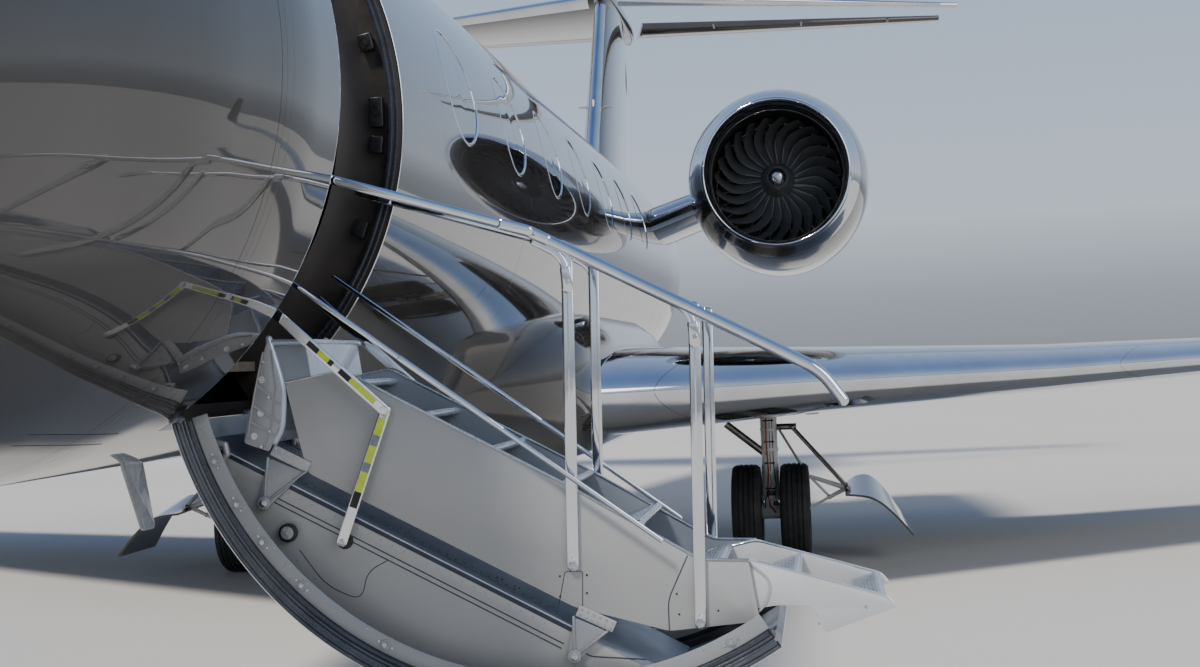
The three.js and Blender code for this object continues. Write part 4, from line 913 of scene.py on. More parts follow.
def add_flight():
    near, back = LANES["panel"]
    outline = rounded_outline(FLIGHT_SIDE, 22)
    sides = rounded(plate(outline, near, back - 2), 2, 2, 60)
    piece("flight_side_panels", at_both_ends(sides), panel_grey, "airstair", ["stair_flight"], "stair_paint")
    # The inner face of the side panels, in the darker grey: painted shade inside the stair.
    inner = plate(rounded_outline(grown(FLIGHT_SIDE, -4), 20), back - 2, back)
    piece("flight_inner_panels", at_both_ends(inner), painted_shade_grey, "airstair")
    top = filleted(FLIGHT_SIDE[:5], 30)
    flange = bar(top, 3.2, 12, near + 8, roundness=0.3, sides=16)
    piece("flight_top_flanges", at_both_ends(flange), machined, "airstair")

    lip_path = filleted(LIP, 60)
    tube = bar(lip_path, 13, 13, near - 8, sides=24)
    top_bar = bar([Vector((1064, 2019)), Vector((1196, 2014))], 11, 11, near - 8)
    piece("threshold_tubes", at_both_ends(joined(tube, top_bar)), tube_blue, "airstair")
    cover = surface(list(range(len(lip_path))), [0.0, 1.0], lambda k, v: at(
        lip_path[int(k)].x, near + v * (2 * DOOR_MIDDLE - 2 * near), lip_path[int(k)].y))
    piece("threshold_cover", cover, rim_grey, "airstair", thick=3)
    far = 2 * DOOR_MIDDLE - near
    shelf = block(1066, 1200, near, far, 2010, 2026)
    apron = plate([(1186, 2012), (1194, 2012), (1216, 1846), (1208, 1846)], near + 4, far - 4)
    piece("threshold_shelf", joined(rounded(shelf, 3), apron), tube_blue, "airstair")
    kick = rounded_outline([(1064, 2012), (1190, 2012), (1212, 1856), (1118, 1856)], 12)
    kick = plate(kick, near + 2, near + 8)
    piece("threshold_sides", at_both_ends(kick), painted_shade_grey, "airstair")

    cheek = rounded(plate(rounded_outline(CHEEK, 12), near - 22, near - 16), 1.5, 2, 40)
    ribs = [line_strip([a, b], 4, near - 23, 3) for a, b in (
        ((1018, 1870), (1104, 1800)), ((1000, 1800), (1100, 1735)), ((988, 1745), (1078, 1690)))]
    ribs.append(line_strip([(1046, 1985), (1010, 1840), (980, 1690)], 3, near - 23, 3))
    ribs.append(line_strip([(1078, 1990), (1090, 1860), (1072, 1730), (1040, 1648)], 3, near - 23, 3))
    piece("threshold_cheeks", at_both_ends(joined(cheek, *ribs)), rim_grey, "airstair")
    bolts = [bolt_head(spot, near - 22, 7, 6) for spot in CHEEK_BOLTS]
    bolts += [station_rod(spot, near - 20, near - 24, 12, 20) for spot in CHEEK_BOLTS[1::2]]
    piece("threshold_bolts", at_both_ends(joined(*bolts)), machined, "airstair")

    seams = [line_strip([on_strip(-560, 22), on_strip(470, 22)], 1.4, near - 0.2, 0.8)]
    post_plate = [(2054, 1040), (2086, 1186), (2148, 1186), (2142, 1028)]
    seams.append(line_strip(filleted(post_plate, 10), 1.4, near - 0.2, 0.8))
    far_plate = [(2440, 975), (2440, 1080), (2512, 1230)]
    seams.append(line_strip(filleted(far_plate, 30), 2.0, near - 0.2, 0.8))
    piece("flight_seams", at_both_ends(joined(*seams)), seam_dark, "airstair")
    rivets = [bolt_head(on_strip(-520 + k * 33, 30), near + 0.6, 3, 1.8, 10) for k in range(30)]
    rivets += [bolt_head(on_strip(a, 40), near + 0.6, 4, 2.4, 8) for a in (-150, -118, 232, 250, 300, 318)]
    rivets += [bolt_head(spot, near + 0.6, 4, 2.6, 8) for spot in PANEL_RIVETS]
    piece("flight_rivets", at_both_ends(joined(*rivets)), black_fitting, "airstair")
    pins = [rounded(plate(ring_outline(foot, 17, 28), near - 22, near), 2, 2) for _, foot, _ in POSTS]
    piece("post_feet", at_both_ends(joined(*pins)), machined, "airstair")
    add_steps("flight", NOSINGS, 198, LANES["panel"], "airstair")


def add_extension():
    near, back = LANES["extension"]
    outline = rounded_outline(EXTENSION_SIDE, 18)
    sides = rounded(plate(outline, near, back), 2, 2, 60)
    piece("extension_side_panels", at_both_ends(sides), extension_painted_sunlight, "extension", ["stair_extension"],
          "stair_paint")
    rim = bar(filleted([(2540, 1166), (2722, 1207), (3186, 1070), (3208, 1040)], 30), 5, 6.5, near + 6,
              roundness=0.4)
    piece("extension_rims", at_both_ends(rim), chrome, "extension")
    hook = line_strip(filleted([(2722, 1196), (2800, 1130), (2770, 1050), (2716, 1006)], 60), 5, near - 1, 2)
    piece("extension_beads", at_both_ends(hook), panel_grey, "extension")
    bolts = [bolt_head(spot, near, 5, 3, 10) for spot in ((2950, 985), (3110, 1040), (2600, 1090))]
    piece("extension_bolts", at_both_ends(joined(*bolts)), machined, "extension")
    add_steps("extension", FAR_NOSINGS, 108, LANES["extension"], "extension")
    rear = 2 * DOOR_MIDDLE - back
    wedges = []
    for x, z in FAR_NOSINGS[1:]:
        for k in range(7):
            station = back + 30 + k * (rear - back - 60) / 6
            web = [tread_point((x, z), *p) for p in ((22, 24), (104, 24), (96, 62))]
            wedges.append(plate(web, station - 3, station + 3))
    piece("extension_tread_webs", joined(*wedges), machined, "extension")


# Rails, posts, stays and rods on both sides of the steps

RAIL = {"pivot": (1200, 2613), "collar": (2011, 2363), "end": (2988, 1848), "bend": (3061, 1744)}
PUSH_ROD = [(1090, 2281), (2429, 1292)]
STAY = {"pivot": (1030, 2190), "elbow": (1483, 1765), "anchor": (1312, 1313)}


def lane_middle(name):
    return sum(LANES[name]) / 2


def at_end(bm, end):
    """The front bar as drawn, or its mirror image at the rear end."""
    if end == "front":
        return bm
    bmesh.ops.scale(bm, vec=(1, -1, 1), verts=bm.verts)
    bmesh.ops.translate(bm, verts=bm.verts, vec=(0, 2 * (DOOR_MIDDLE - NOSE_STATION) / 1000, 0))
    bmesh.ops.reverse_faces(bm, faces=bm.faces)
    return bm


def strip_along(a, b, low, high, half, front, back):
    """A flat strip along part of a bar between two points of the cross view."""
    a, b = Vector(a), Vector(b)
    start, end = a.lerp(b, low), a.lerp(b, high)
    way = (b - a).normalized()
    up = Vector((-way.y, way.x)) * half
    return plate([tuple(start - up), tuple(end - up), tuple(end + up), tuple(start + up)], front, back)


STAY_BANDS = [
    # stretch of the lower stay from its elbow, and what covers it
    (0.06, 0.19, "green"), (0.19, 0.27, "grey"), (0.27, 0.40, "yellow"), (0.40, 0.47, "grey"),
    (0.47, 0.62, "yellow"), (0.62, 0.74, "dark"),
]
UPPER_BANDS = [(0.42, 0.50, "dark"), (0.50, 0.58, "green"), (0.58, 0.61, "dark"), (0.66, 0.74, "dark"),
               (0.74, 0.93, "yellow")]


def add_stays():
    covers = {"green": safety_yellow, "yellow": safety_yellow, "grey": band_grey, "dark": black_fitting}
    pivot, elbow, anchor = STAY["pivot"], STAY["elbow"], STAY["anchor"]
    for end in ("front", "rear"):
        for body, start in (("stay_lower", anchor), ("stay_upper", pivot)):
            stay = bar([Vector(start), Vector(elbow)], 19, 6, lane_middle(body), roundness=0.15, sides=24)
            piece(f"{body}_{end}_bar", at_end(stay, end), chrome, body, [f"{body}_{end}"], "polished_metal")
        for body, label, bands, start, stop, half in (
                ("stay_lower", "stay_band", STAY_BANDS, elbow, anchor, 13.5),
                ("stay_upper", "stay_upper_band", UPPER_BANDS, pivot, elbow, 10)):
            near = LANES[body][0]
            for k, (low, high, cover) in enumerate(bands):
                band = rounded(strip_along(start, stop, low, high, half, near - 1.8, near + 1), 0.5, 1)
                piece(f"{label}_{end}_{k}", at_end(band, end), covers[cover], body)
        near = LANES["stay_upper"][0]
        cap = joined(bolt_head(elbow, near - 1, 15, 5, 24), bolt_head(elbow, near - 6, 7, 3, 6))
        piece(f"stay_elbow_{end}", at_end(cap, end), chrome, "stay_upper")
        near = LANES["stay_lower"][0]
        foot = joined(bolt_head(anchor, near - 1, 11, 3, 20), bolt_head(anchor, near - 4, 5, 2, 6))
        piece(f"stay_foot_{end}", at_end(foot, end), machined, "stay_lower")


def add_rails():
    pivot, joint = Vector(RAIL["pivot"]), Vector(RAIL["collar"])
    way = (joint - pivot).normalized()
    rod_start, rod_end = (Vector(p) for p in PUSH_ROD)
    for end in ("front", "rear"):
        middle = lane_middle("rail_upper") + 1
        upper = bar([pivot, joint], 17, 10, middle)
        sleeve = bar([pivot + way * 12, pivot + way * 130], 19.5, 11, middle, roundness=0.8)
        collar = bar([joint - way * 90, joint + way * 2], 19.8, 11, middle, roundness=0.8)
        piece(f"rail_upper_{end}_bar", at_end(joined(upper, sleeve, collar), end), chrome, "rail_upper",
              [f"rail_upper_{end}"], "polished_metal")
        path = filleted([RAIL["collar"], RAIL["end"], RAIL["bend"]], 130, 10)
        middle = lane_middle("handrail")
        grip = bar(path, 20, 14, middle, sides=28)
        necks = []
        for _, _, (x, z) in POSTS:
            neck = filleted([(x - 112, z + 44), (x - 8, z - 14), (x, z - 122)], 62, 10)
            necks.append(bar(neck, 14, 8, middle, roundness=0.7))
            necks.append(bar(neck[-3:], 19, 8.5, middle, roundness=0.6))
            necks.append(bolt_head((x + 1, z - 100), LANES["handrail"][0] - 4, 9, 4, 16))
        collar = bar([joint, joint + Vector((58, -31))], 21, 15, middle, roundness=0.8)
        piece(f"handrail_{end}_bar", at_end(joined(grip, collar, *necks), end), chrome, "handrails",
              [f"handrail_{end}"], "polished_metal")
        middle = lane_middle("push_rod") + 3
        push_rod = bar([rod_start, rod_end], 9, 5.5, middle, sides=20)
        sleeve = bar([rod_start.lerp(rod_end, t) for t in (0.34, 0.60)], 10.5, 6, middle)
        piece(f"push_rod_{end}_bar", at_end(joined(push_rod, sleeve), end), chrome, "push_rods",
              [f"push_rod_{end}"], "polished_metal")
        for name, foot, top in POSTS:
            near = LANES["post"][0]
            post = bar([Vector(foot), Vector(top)], 20.5, 8.5, lane_middle("post"), roundness=0.55, sides=40)
            groove = strip_along(foot, top, 0.02, 0.93, 2.2, near - 4.6, near)
            knuckle = [bolt_head(top, near - 4, 10, 4, 20),
                       bolt_head(Vector(top).lerp(Vector(foot), 0.05), near - 4, 5, 3, 12),
                       bolt_head(Vector(foot).lerp(Vector(top), 0.02), near - 4, 8, 4, 20)]
            piece(f"{name}_{end}_bar", at_end(joined(post, groove, *knuckle), end), chrome,
                  name.replace("post", "posts"), [f"{name}_{end}"], "polished_metal")


# Wings, tail and belly fairing

FOIL_TERMS = (0.2969, -0.126, -0.3516, 0.2843, -0.1015)
EDGE_HALF = 4
WING_ROWS = [
    # span, leading edge, chord, thickness, z, lean
    (1100, 11585, 6303, 734, 1668, 0), (3000, 13042, 5000, 560, 1690, 0), (5000, 14576, 3950, 430, 1705, 0),
    (9800, 18258, 2480, 240, 1820, 0), (13300, 20942, 1440, 140, 1960, 0), (13900, 21403, 1280, 125, 1990, 0),
    (14130, 21640, 1150, 105, 2060, 35), (14250, 21900, 1030, 95, 2240, 70),
    (14440, 22950, 480, 45, 3400, 80),
]
FIN_ROWS = [(3850, 22405, 4830, 470), (7220, 24890, 3770, 310)]
TAIL_ROWS = [(0, 25100, 3800, 360, 7300), (5400, 27860, 1540, 130, 7390)]
FAIRING_ROWS = [
    # station, half width, top, bottom
    (10300, 560, 1900, 1560), (11000, 1120, 2200, 1380), (11700, 1340, 2400, 1230), (13000, 1420, 2500, 1110),
    (16000, 1420, 2500, 1110), (17200, 1400, 2440, 1190), (18200, 1180, 2200, 1390), (18900, 600, 1900, 1570),
]
FAIRING_SQUARE = {"above": 0.72, "below": 0.5}
AILERON = {"inner": 9900, "outer": 13200, "fraction": 0.74}
RUDDER = {"low": 4480, "high": 6700, "fraction": 0.72}
ELEVATOR = {"inner": 330, "outer": 5150, "fraction": 0.72}
COVE_GAP, END_GAP, FOOT_GAP = 8, 14, 34


def foil_half(t):
    a, b, c, d, e = FOIL_TERMS
    return max(5 * (a * math.sqrt(t) + b * t + c * t ** 2 + d * t ** 3 + e * t ** 4), 0)


def straight_row(rows, place):
    """A row of the table at any place, straight between its neighbours."""
    k = max(1, next((i for i, row in enumerate(rows) if row[0] >= place), len(rows) - 1))
    before, after = rows[k - 1], rows[k]
    part = (place - before[0]) / (after[0] - before[0])
    return [before[c] + part * (after[c] - before[c]) for c in range(1, len(before))]


def around_foil(steps):
    """Places around a section: -1 and 1 at the trailing edge, below and above, and 0 at the nose."""
    return [math.copysign(1 - math.cos(math.pi / 2 * abs(k / steps)), k) for k in range(-steps, steps + 1)]


def wing_point(sign, span, side, row=straight_row, grow=0):
    lead, chord, thick, z, lean = row(WING_ROWS, span)
    t = abs(side)
    half = (max(thick * foil_half(t), EDGE_HALF) + grow) * math.copysign(1, side)
    tilt = math.radians(lean)
    return at(sign * (span - half * math.sin(tilt)), lead + chord * t, z + half * math.cos(tilt))


def turned_over(bm, wrong):
    """Even normals, all reversed where wrong(face) holds for most of the faces."""
    bmesh.ops.recalc_face_normals(bm, faces=bm.faces)
    if sum(1 for f in bm.faces if wrong(f)) > len(bm.faces) / 2:
        bmesh.ops.reverse_faces(bm, faces=bm.faces)
    return bm


def wrapped(k, reach):
    """A place near the nose of a section: k runs from -1 below to 1 above, reach is a part of the chord."""
    return math.copysign(k * k * reach + 1e-6, k)


def close_ends(bm):
    edges = [e for e in bm.edges if e.is_boundary]
    bmesh.ops.holes_fill(bm, edges=edges, sides=0)
    bmesh.ops.recalc_face_normals(bm, faces=bm.faces)
    return bm


def foil_surface(spans, point, steps=40):
    around = around_foil(steps)
    return close_ends(surface(spans, around + around[:1], point, closed=True))


def hinged_panel(rows, point_of, ends, fraction, level=False):
    """The moving surface behind its hinge line: a half-round nose, then straight to the trailing edge.
    Also gives the slot that it leaves in the fixed part."""
    spots = []
    for place in ends:
        lead, chord, thick = straight_row(rows, place)[:3]
        spots.append((point_of(place, lead + chord * fraction), point_of(place, lead + chord),
                      thick * foil_half(fraction)))
    (a, ta, ra), (b, tb, rb) = spots
    axis = (b - a).normalized()
    aft = (ta - a) - axis * (ta - a).dot(axis)
    aft.normalize()
    out = axis.cross(aft)

    def ring(place, radius, margin, tail, flat):
        edge = tb - ta
        s = (place - ta).dot(axis) / edge.dot(axis)
        end = ta + edge * s + aft * margin / 1000
        points = []
        for k in range(17):
            turn = -math.pi / 2 + math.pi * k / 16
            points.append(place + (out * math.sin(turn) - aft * math.cos(turn)) * radius / 1000)
        points += [end + out * tail / 1000, end - out * tail / 1000]
        if flat:
            points = [p + axis * ((place.z - p.z) / axis.z) for p in points]
        return points

    def between(low, high):
        rings = [low, high]
        count = len(low)
        return close_ends(surface(list(range(count + 1)), [0, 1],
                                  lambda k, v: rings[int(v)][int(k) % count], closed=True))

    foot = FOOT_GAP if level else END_GAP
    panel = between(ring(a, ra, 0, EDGE_HALF, level), ring(b, rb, 0, EDGE_HALF, False))
    slot = between(ring(a - axis * foot / 1000, ra + COVE_GAP, 250, ra + COVE_GAP, level),
                   ring(b + axis * END_GAP / 1000, rb + COVE_GAP, 250, rb + COVE_GAP, False))
    return panel, slot


def add_wings():
    spans = spread([row[0] for row in WING_ROWS], [8, 8, 16, 12, 4, 6, 6, 14])
    panel, slot = hinged_panel(WING_ROWS, lambda span, s: at(span, s, straight_row(WING_ROWS, span)[3]),
                               (AILERON["inner"], AILERON["outer"]), AILERON["fraction"])
    for sign, side in SIDES:
        bm = foil_surface(spans, lambda span, part: wing_point(sign, span, part))
        cut = as_cutter("aileron_slot", slot.copy() if sign > 0 else mirrored(slot))
        piece(f"wing_{side}_skin", bm, bronze, "airframe", [f"wing_{side}"], "body_paint", cut=cut)
        lead_turns = [k / 24 for k in range(-24, 25)]
        strip = surface(spread([1260, 3000, 5000, 9800, 13300], [10, 8, 16, 12]), lead_turns,
                        lambda span, k: wing_point(sign, span, wrapped(k, 0.085), grow=1.6))
        strip = turned_over(strip, lambda f: f.normal.y > 0.3)
        piece(f"wing_{side}_leading_edge", strip, bright_edge, thick=1.5)
        seams = []
        for span in (1760, 5600, 9000):
            def across(k, v, span=span):
                return wing_point(sign, span + v + 260 * abs(k) ** 1.5, wrapped(k, 0.09), grow=1.9)
            seams.append(surface(lead_turns, [-2.2, 2.2], across))
        for part in (0.16, -0.16, -0.55, 0.6):
            def along(span, v, part=part):
                return wing_point(sign, span, part + math.copysign(v * 0.0006, part), grow=0.5)
            seams.append(surface(spread([1700, 3000, 5000, 9600], [4, 4, 8]), [-1, 1], along))
        piece(f"wing_{side}_seams", joined(*seams), seam_dark)
        pad = rod(at(sign * 2900, 14600, 1385), at(sign * 2900, 14600, 1425), 60, 40)
        piece(f"jacking_pad_{side}", rounded(pad, 3), gear_grey)
    both_sides("aileron_panel", rounded(panel, 1.5, 2, 50), bronze, "aileron", ["aileron"], "composite_paint")
    slot.free()


def add_belly():
    def point(station, turn):
        half, top, bottom = row_at(FAIRING_ROWS, station)
        s, c = math.sin(turn), math.cos(turn)
        power = FAIRING_SQUARE["above" if c > 0 else "below"]
        x = half * math.copysign(abs(s) ** power, s)
        z = (top + bottom) / 2 + (top - bottom) / 2 * math.copysign(abs(c) ** power, c)
        return at(x, station, z)
    turns = [2 * math.pi * k / 96 for k in range(97)]
    stations = spread([10300, 10700, 18500, 18900], [8, 90, 8])
    bm = close_ends(surface(stations, turns, point, closed=True))
    piece("belly_fairing_skin", bm, bronze, "airframe", ["belly_fairing"], "body_paint")
    seams = []
    for station in (11400, 12600, 14900, 17100):
        seams.append(surface([station - 2, station + 2], turns[20:77],
                             lambda s, t: point(s, t) + Vector((0, 0, -0.0015))))
    piece("belly_seams", joined(*seams), seam_dark)


def fin_point(z, side, grow=0):
    lead, chord, thick = straight_row(FIN_ROWS, z)
    half = (max(thick * foil_half(abs(side)), EDGE_HALF) + grow) * math.copysign(1, side)
    return at(half, lead + chord * abs(side), z)


def tail_point(sign, span, side, grow=0):
    lead, chord, thick, z = straight_row(TAIL_ROWS, span)
    half = (max(thick * foil_half(abs(side)), EDGE_HALF) + grow) * math.copysign(1, side)
    return at(sign * span, lead + chord * abs(side), z + half)


BULLET = [(0, 24750), (40, 24768), (70, 24830), (110, 24990), (150, 25250), (178, 25700), (190, 26200),
          (190, 27600), (168, 28200), (120, 28700), (60, 28980), (0, 29100)]


def add_tail():
    panel, slot = hinged_panel(FIN_ROWS, lambda z, station: at(0, station, z),
                               (RUDDER["low"], RUDDER["high"]), RUDDER["fraction"], True)
    fin = foil_surface(spread([4100, 7215], [40]), fin_point)
    piece("fin_skin", fin, bronze, "airframe", ["fin"], "body_paint", cut=as_cutter("rudder_slot", slot))
    piece("rudder_panel", rounded(panel, 1.5, 2, 50), bronze, "rudder", ["rudder"], "composite_paint")
    turns = [k / 20 for k in range(-20, 21)]
    strip = surface(spread([4330, 7150], [30]), turns, lambda z, k: fin_point(z, wrapped(k, 0.03), grow=1.6))
    piece("fin_leading_edge", turned_over(strip, lambda f: f.normal.y > 0), bright_edge, thick=1.5)
    lamp_station = straight_row(FIN_ROWS, 5480)[0]
    lamp = bar([Vector((0, 5420)), Vector((0, 5560))], 15, 60, lamp_station + 52, roundness=0.9)
    piece("fin_lamp", lamp, lamp_white)
    vane = [(60, 5488), (250, 5500), (250, 5508), (60, 5524)]
    vanes = [plate([(sign * x, z) for x, z in vane], lamp_station + 260, lamp_station + 400)
             for sign, _ in SIDES]
    piece("fin_small_vanes", joined(*vanes), machined)

    panel, slot = hinged_panel(TAIL_ROWS, lambda span, s: at(span, s, straight_row(TAIL_ROWS, span)[3]),
                               (ELEVATOR["inner"], ELEVATOR["outer"]), ELEVATOR["fraction"])
    skins, edges, pods = [], [], []
    for sign, _ in SIDES:
        skins.append(foil_surface(spread([0, 330, 5400], [4, 36]),
                                  lambda span, part: tail_point(sign, span, part)))
        edge = surface(spread([220, 5380], [40]), turns,
                       lambda span, k: tail_point(sign, span, wrapped(k, 0.05), grow=1.6))
        edges.append(turned_over(edge, lambda f: f.normal.y > 0))
        for span in (1500, 2900, 4300):
            lead, chord, _, z = straight_row(TAIL_ROWS, span)
            path = [(0.56, -40), (0.62, -70), (0.68, -54)]
            pods.append(pipe([(sign * span, lead + chord * part, z + dz) for part, dz in path], 16, 14))
    cut = as_cutter("elevator_slots", slot.copy(), mirrored(slot))
    slot.free()
    piece("tailplane_skin", joined(*skins), bronze, "airframe", ["tailplane"], "composite_paint", cut=cut)
    piece("tail_bullet", turned(BULLET, (0, 0, 7300), "y", 56), bronze, "airframe")
    both_sides("elevator_panel", rounded(panel, 1.5, 2, 50), bronze, "elevator", ["elevator"],
               "composite_paint")
    piece("tailplane_leading_edges", joined(*edges), bright_edge, thick=1.5)
    piece("elevator_hinge_pods", joined(*pods), bronze)


# Engines

ENGINE = {"x": 2650, "z": 3630, "fan_station": 16600, "fan_radius": 627, "blades": 24}
NACELLE_OUTSIDE = [(672, 15716), (676, 15702), (688, 15700), (702, 15718), (716, 15760), (752, 15850),
                   (790, 15960), (830, 16140), (865, 16350), (888, 16600), (899, 16900), (899, 17300),
                   (893, 17700), (876, 18200), (850, 18700), (814, 19180), (770, 19600), (690, 20300)]
DUCT = [(672, 15716), (664, 15740), (652, 15800), (641, 15900), (633, 16050), (631, 16200), (633, 16400),
        (640, 16750), (640, 17600), (640, 18800), (655, 19600), (672, 20295), (690, 20300)]
LIP_END, LINER_START = 15960, 15868


def around_engine(bm, sign, turn=0.0):
    centre = at(sign * ENGINE["x"], NOSE_STATION, ENGINE["z"])
    bmesh.ops.transform(bm, matrix=Matrix.Translation(centre) @ Matrix.Rotation(turn, 4, "Y"), verts=bm.verts)
    return bm


def curved_profile(points, steps=4):
    """Profile points with in-between ones on a smooth curve through them."""
    made = []
    for k in range(len(points) - 1):
        quad = [Vector(points[min(max(k + d, 0), len(points) - 1)]) for d in (-1, 0, 1, 2)]
        for i in range(steps):
            t = i / steps
            a, b, c, d = quad
            made.append(tuple(0.5 * (2 * b + (c - a) * t + (2 * a - 5 * b + 4 * c - d) * t ** 2
                                     + (3 * b - a - 3 * c + d) * t ** 3)))
    return made + [points[-1]]


def add_nacelles():
    outside = curved_profile(NACELLE_OUTSIDE)
    inside = curved_profile(DUCT)
    lip = [p for p in inside if p[1] < LINER_START + 2][::-1] + [p for p in outside[1:] if p[1] <= LIP_END]
    cowl = [p for p in outside if p[1] >= LIP_END - 2]
    liner = [p for p in inside if p[1] >= LINER_START]
    for sign, side in SIDES:
        centre = (sign * ENGINE["x"], 0, ENGINE["z"])
        piece(f"nacelle_{side}_cowl", face_out(turned(cowl, centre, "y", 120), sign, True), bronze,
              "airframe", [f"nacelle_{side}"], "composite_paint")
        piece(f"nacelle_{side}_lip", face_out(turned(lip, centre, "y", 120), sign, True), bright_edge)
        piece(f"nacelle_{side}_duct", face_out(turned(liner, centre, "y", 96), sign, False), liner_dark)
        seams = []
        for station in (17050, 18950):
            radius = min(outside, key=lambda p: abs(p[1] - station))[0] + 0.8
            seams.append(turned([(radius, station - 2), (radius, station + 2)], centre, "y", 96))
        piece(f"nacelle_{side}_seams", joined(*seams), seam_dark)
        ring = turned([(636, 16060), (628, 16068), (628, 16084), (636, 16092)], centre, "y", 96)
        piece(f"nacelle_{side}_liner_ring", ring, core_steel)


def face_out(bm, sign, outward):
    """Turns faces to look away from the engine's line, or towards it."""
    flip = []
    for face in bm.faces:
        middle = face.calc_center_median()
        away = Vector((middle.x - sign * ENGINE["x"] / 1000, 0, middle.z - ENGINE["z"] / 1000))
        if away.length > 0.66:
            if (face.normal.dot(away) > 0) != outward and abs(face.normal.y) < 0.9:
                flip.append(face)
    if len(flip) > len(bm.faces) / 2:
        bmesh.ops.reverse_faces(bm, faces=bm.faces)
    return bm


def fan_blade():
    """One swept blade: its root leads, its middle sweeps back and its tip hooks forward."""
    def place(k, v):
        r = BLADE_ROOT + (ENGINE["fan_radius"] - 3 - BLADE_ROOT) * k
        sweep = math.radians(-16 * math.sin(math.pi * k * 0.95) + 12 * k)
        pitch = math.radians(62 - 34 * k)
        chord = 96 + 92 * k
        thick = 7 * (1 - 0.6 * k)
        c, s = math.cos(v), math.sin(v)
        along = c * chord / 2
        off = s * thick * (1 + 0.5 * c) + chord * 0.06 * (1 - c * c)
        turn = sweep + (along * math.sin(pitch) + off * math.cos(pitch)) / r * -1
        depth = along * -math.cos(pitch) + off * math.sin(pitch)
        return at(r * math.sin(turn), ENGINE["fan_station"] + depth, r * math.cos(turn))
    turns = [2 * math.pi * k / 20 for k in range(21)]
    return close_ends(surface([k / 18 for k in range(19)], turns, place, closed=True))


SPINNER = [(0, 16180), (26, 16184), (52, 16196), (78, 16222), (86, 16236), (112, 16290), (134, 16375),
           (150, 16470), (162, 16560), (170, 16650), (176, 16740), (0, 16745)]
CORE = [(0, 16850), (360, 16850), (400, 17500), (410, 18700), (300, 19900), (110, 20500), (0, 20560)]
BLADE_ROOT = 150


def add_fans():
    for sign, side in SIDES:
        body = f"fan_{side}"
        blades = []
        for k in range(ENGINE["blades"]):
            blades.append(around_engine(fan_blade(), sign, 2 * math.pi * k / ENGINE["blades"]))
        piece(f"fan_{side}_blades", joined(*blades), blade_metal, body, [f"fan_{side}"], "fan_metal")
        centre = (sign * ENGINE["x"], 0, ENGINE["z"])
        piece(f"fan_{side}_spinner", turned(curved_profile(SPINNER[4:]), centre, "y", 64), blade_metal, body)
        piece(f"fan_{side}_spinner_tip", turned(curved_profile(SPINNER[:5]), centre, "y", 48), machined, body)
        bolts = []
        for k in range(10):
            turn = 2 * math.pi * k / 10
            spot = at(sign * ENGINE["x"] + 66 * math.sin(turn), 16209, ENGINE["z"] + 66 * math.cos(turn))
            bolts.append(ball(spot, 6, 12))
        piece(f"fan_{side}_spinner_bolts", joined(*bolts), black_fitting, body)
        core = turned(curved_profile(CORE), centre, "y", 64)
        vanes = []
        for k in range(30):
            vane = block(-5, 5, 17000, 17260, 380, 638)
            vanes.append(around_engine(vane, sign, 2 * math.pi * k / 30))
        # A dark disc behind the fan blades and vanes: painted shade inside the engine, in the duct liner's
        # colour.
        wall = turned([(372, 17266), (637, 17266)], centre, "y", 72)
        piece(f"fan_{side}_painted_shade_disc", wall, liner_dark)
        piece(f"engine_core_{side}_case", joined(core, *vanes), core_steel, "airframe",
              [f"engine_core_{side}"], "engine_metal")


PYLON_ROWS = [(900, 17050, 3400, 400, 3150), (1350, 16850, 3350, 370, 3330), (2300, 16700, 3300, 330, 3640)]


def add_pylons():
    for sign, side in SIDES:
        def point(span, part):
            lead, chord, thick, z = straight_row(PYLON_ROWS, span)
            half = max(thick * foil_half(abs(part)), EDGE_HALF) * math.copysign(1, part)
            return at(sign * span, lead + chord * abs(part), z + half)
        bm = foil_surface(spread([1180, 1350, 1900], [6, 16]), point)
        piece(f"pylon_{side}_skin", bm, bronze, "airframe", [f"pylon_{side}"], "body_paint")
        turns = [k / 16 for k in range(-16, 17)]
        strip = surface(spread([1330, 1810], [14]), turns,
                        lambda span, k: point(span, wrapped(k, 0.05)) + Vector((0, -0.0015, 0)))
        strip = turned_over(strip, lambda f: f.normal.y > 0)
        piece(f"pylon_{side}_leading_edge", strip, bright_edge, thick=1.2)


# Landing gear

MAIN = {"x": 2480, "station": 15900, "radius": 444.5, "half": 140, "rim": 262, "rim_half": 92, "twin": 225}
NOSE = {"station": 2900, "radius": 270, "half": 90, "rim": 150, "rim_half": 60, "twin": 150}


def tyre_profile(x, radius, half, rim):
    """Half-round shoulders with grooves round the tread."""
    points = [(rim, x - half * 0.70), (rim + 8, x - half * 0.84), (rim + 40, x - half * 0.97),
              (rim + (radius - rim) * 0.45, x - half), (radius * 0.93, x - half * 0.93),
              (radius * 0.975, x - half * 0.78)]
    for groove in (-0.5, -0.17, 0.17, 0.5):
        mid = x + half * groove
        points += [(radius * 0.998, mid - 7), (radius * 0.978, mid - 4), (radius * 0.978, mid + 4),
                   (radius * 0.998, mid + 7)]
    points += [(radius * 0.975, x + half * 0.78), (radius * 0.93, x + half * 0.93),
               (rim + (radius - rim) * 0.45, x + half), (rim + 40, x + half * 0.97),
               (rim + 8, x + half * 0.84), (rim, x + half * 0.70), (rim, x - half * 0.70)]
    return points


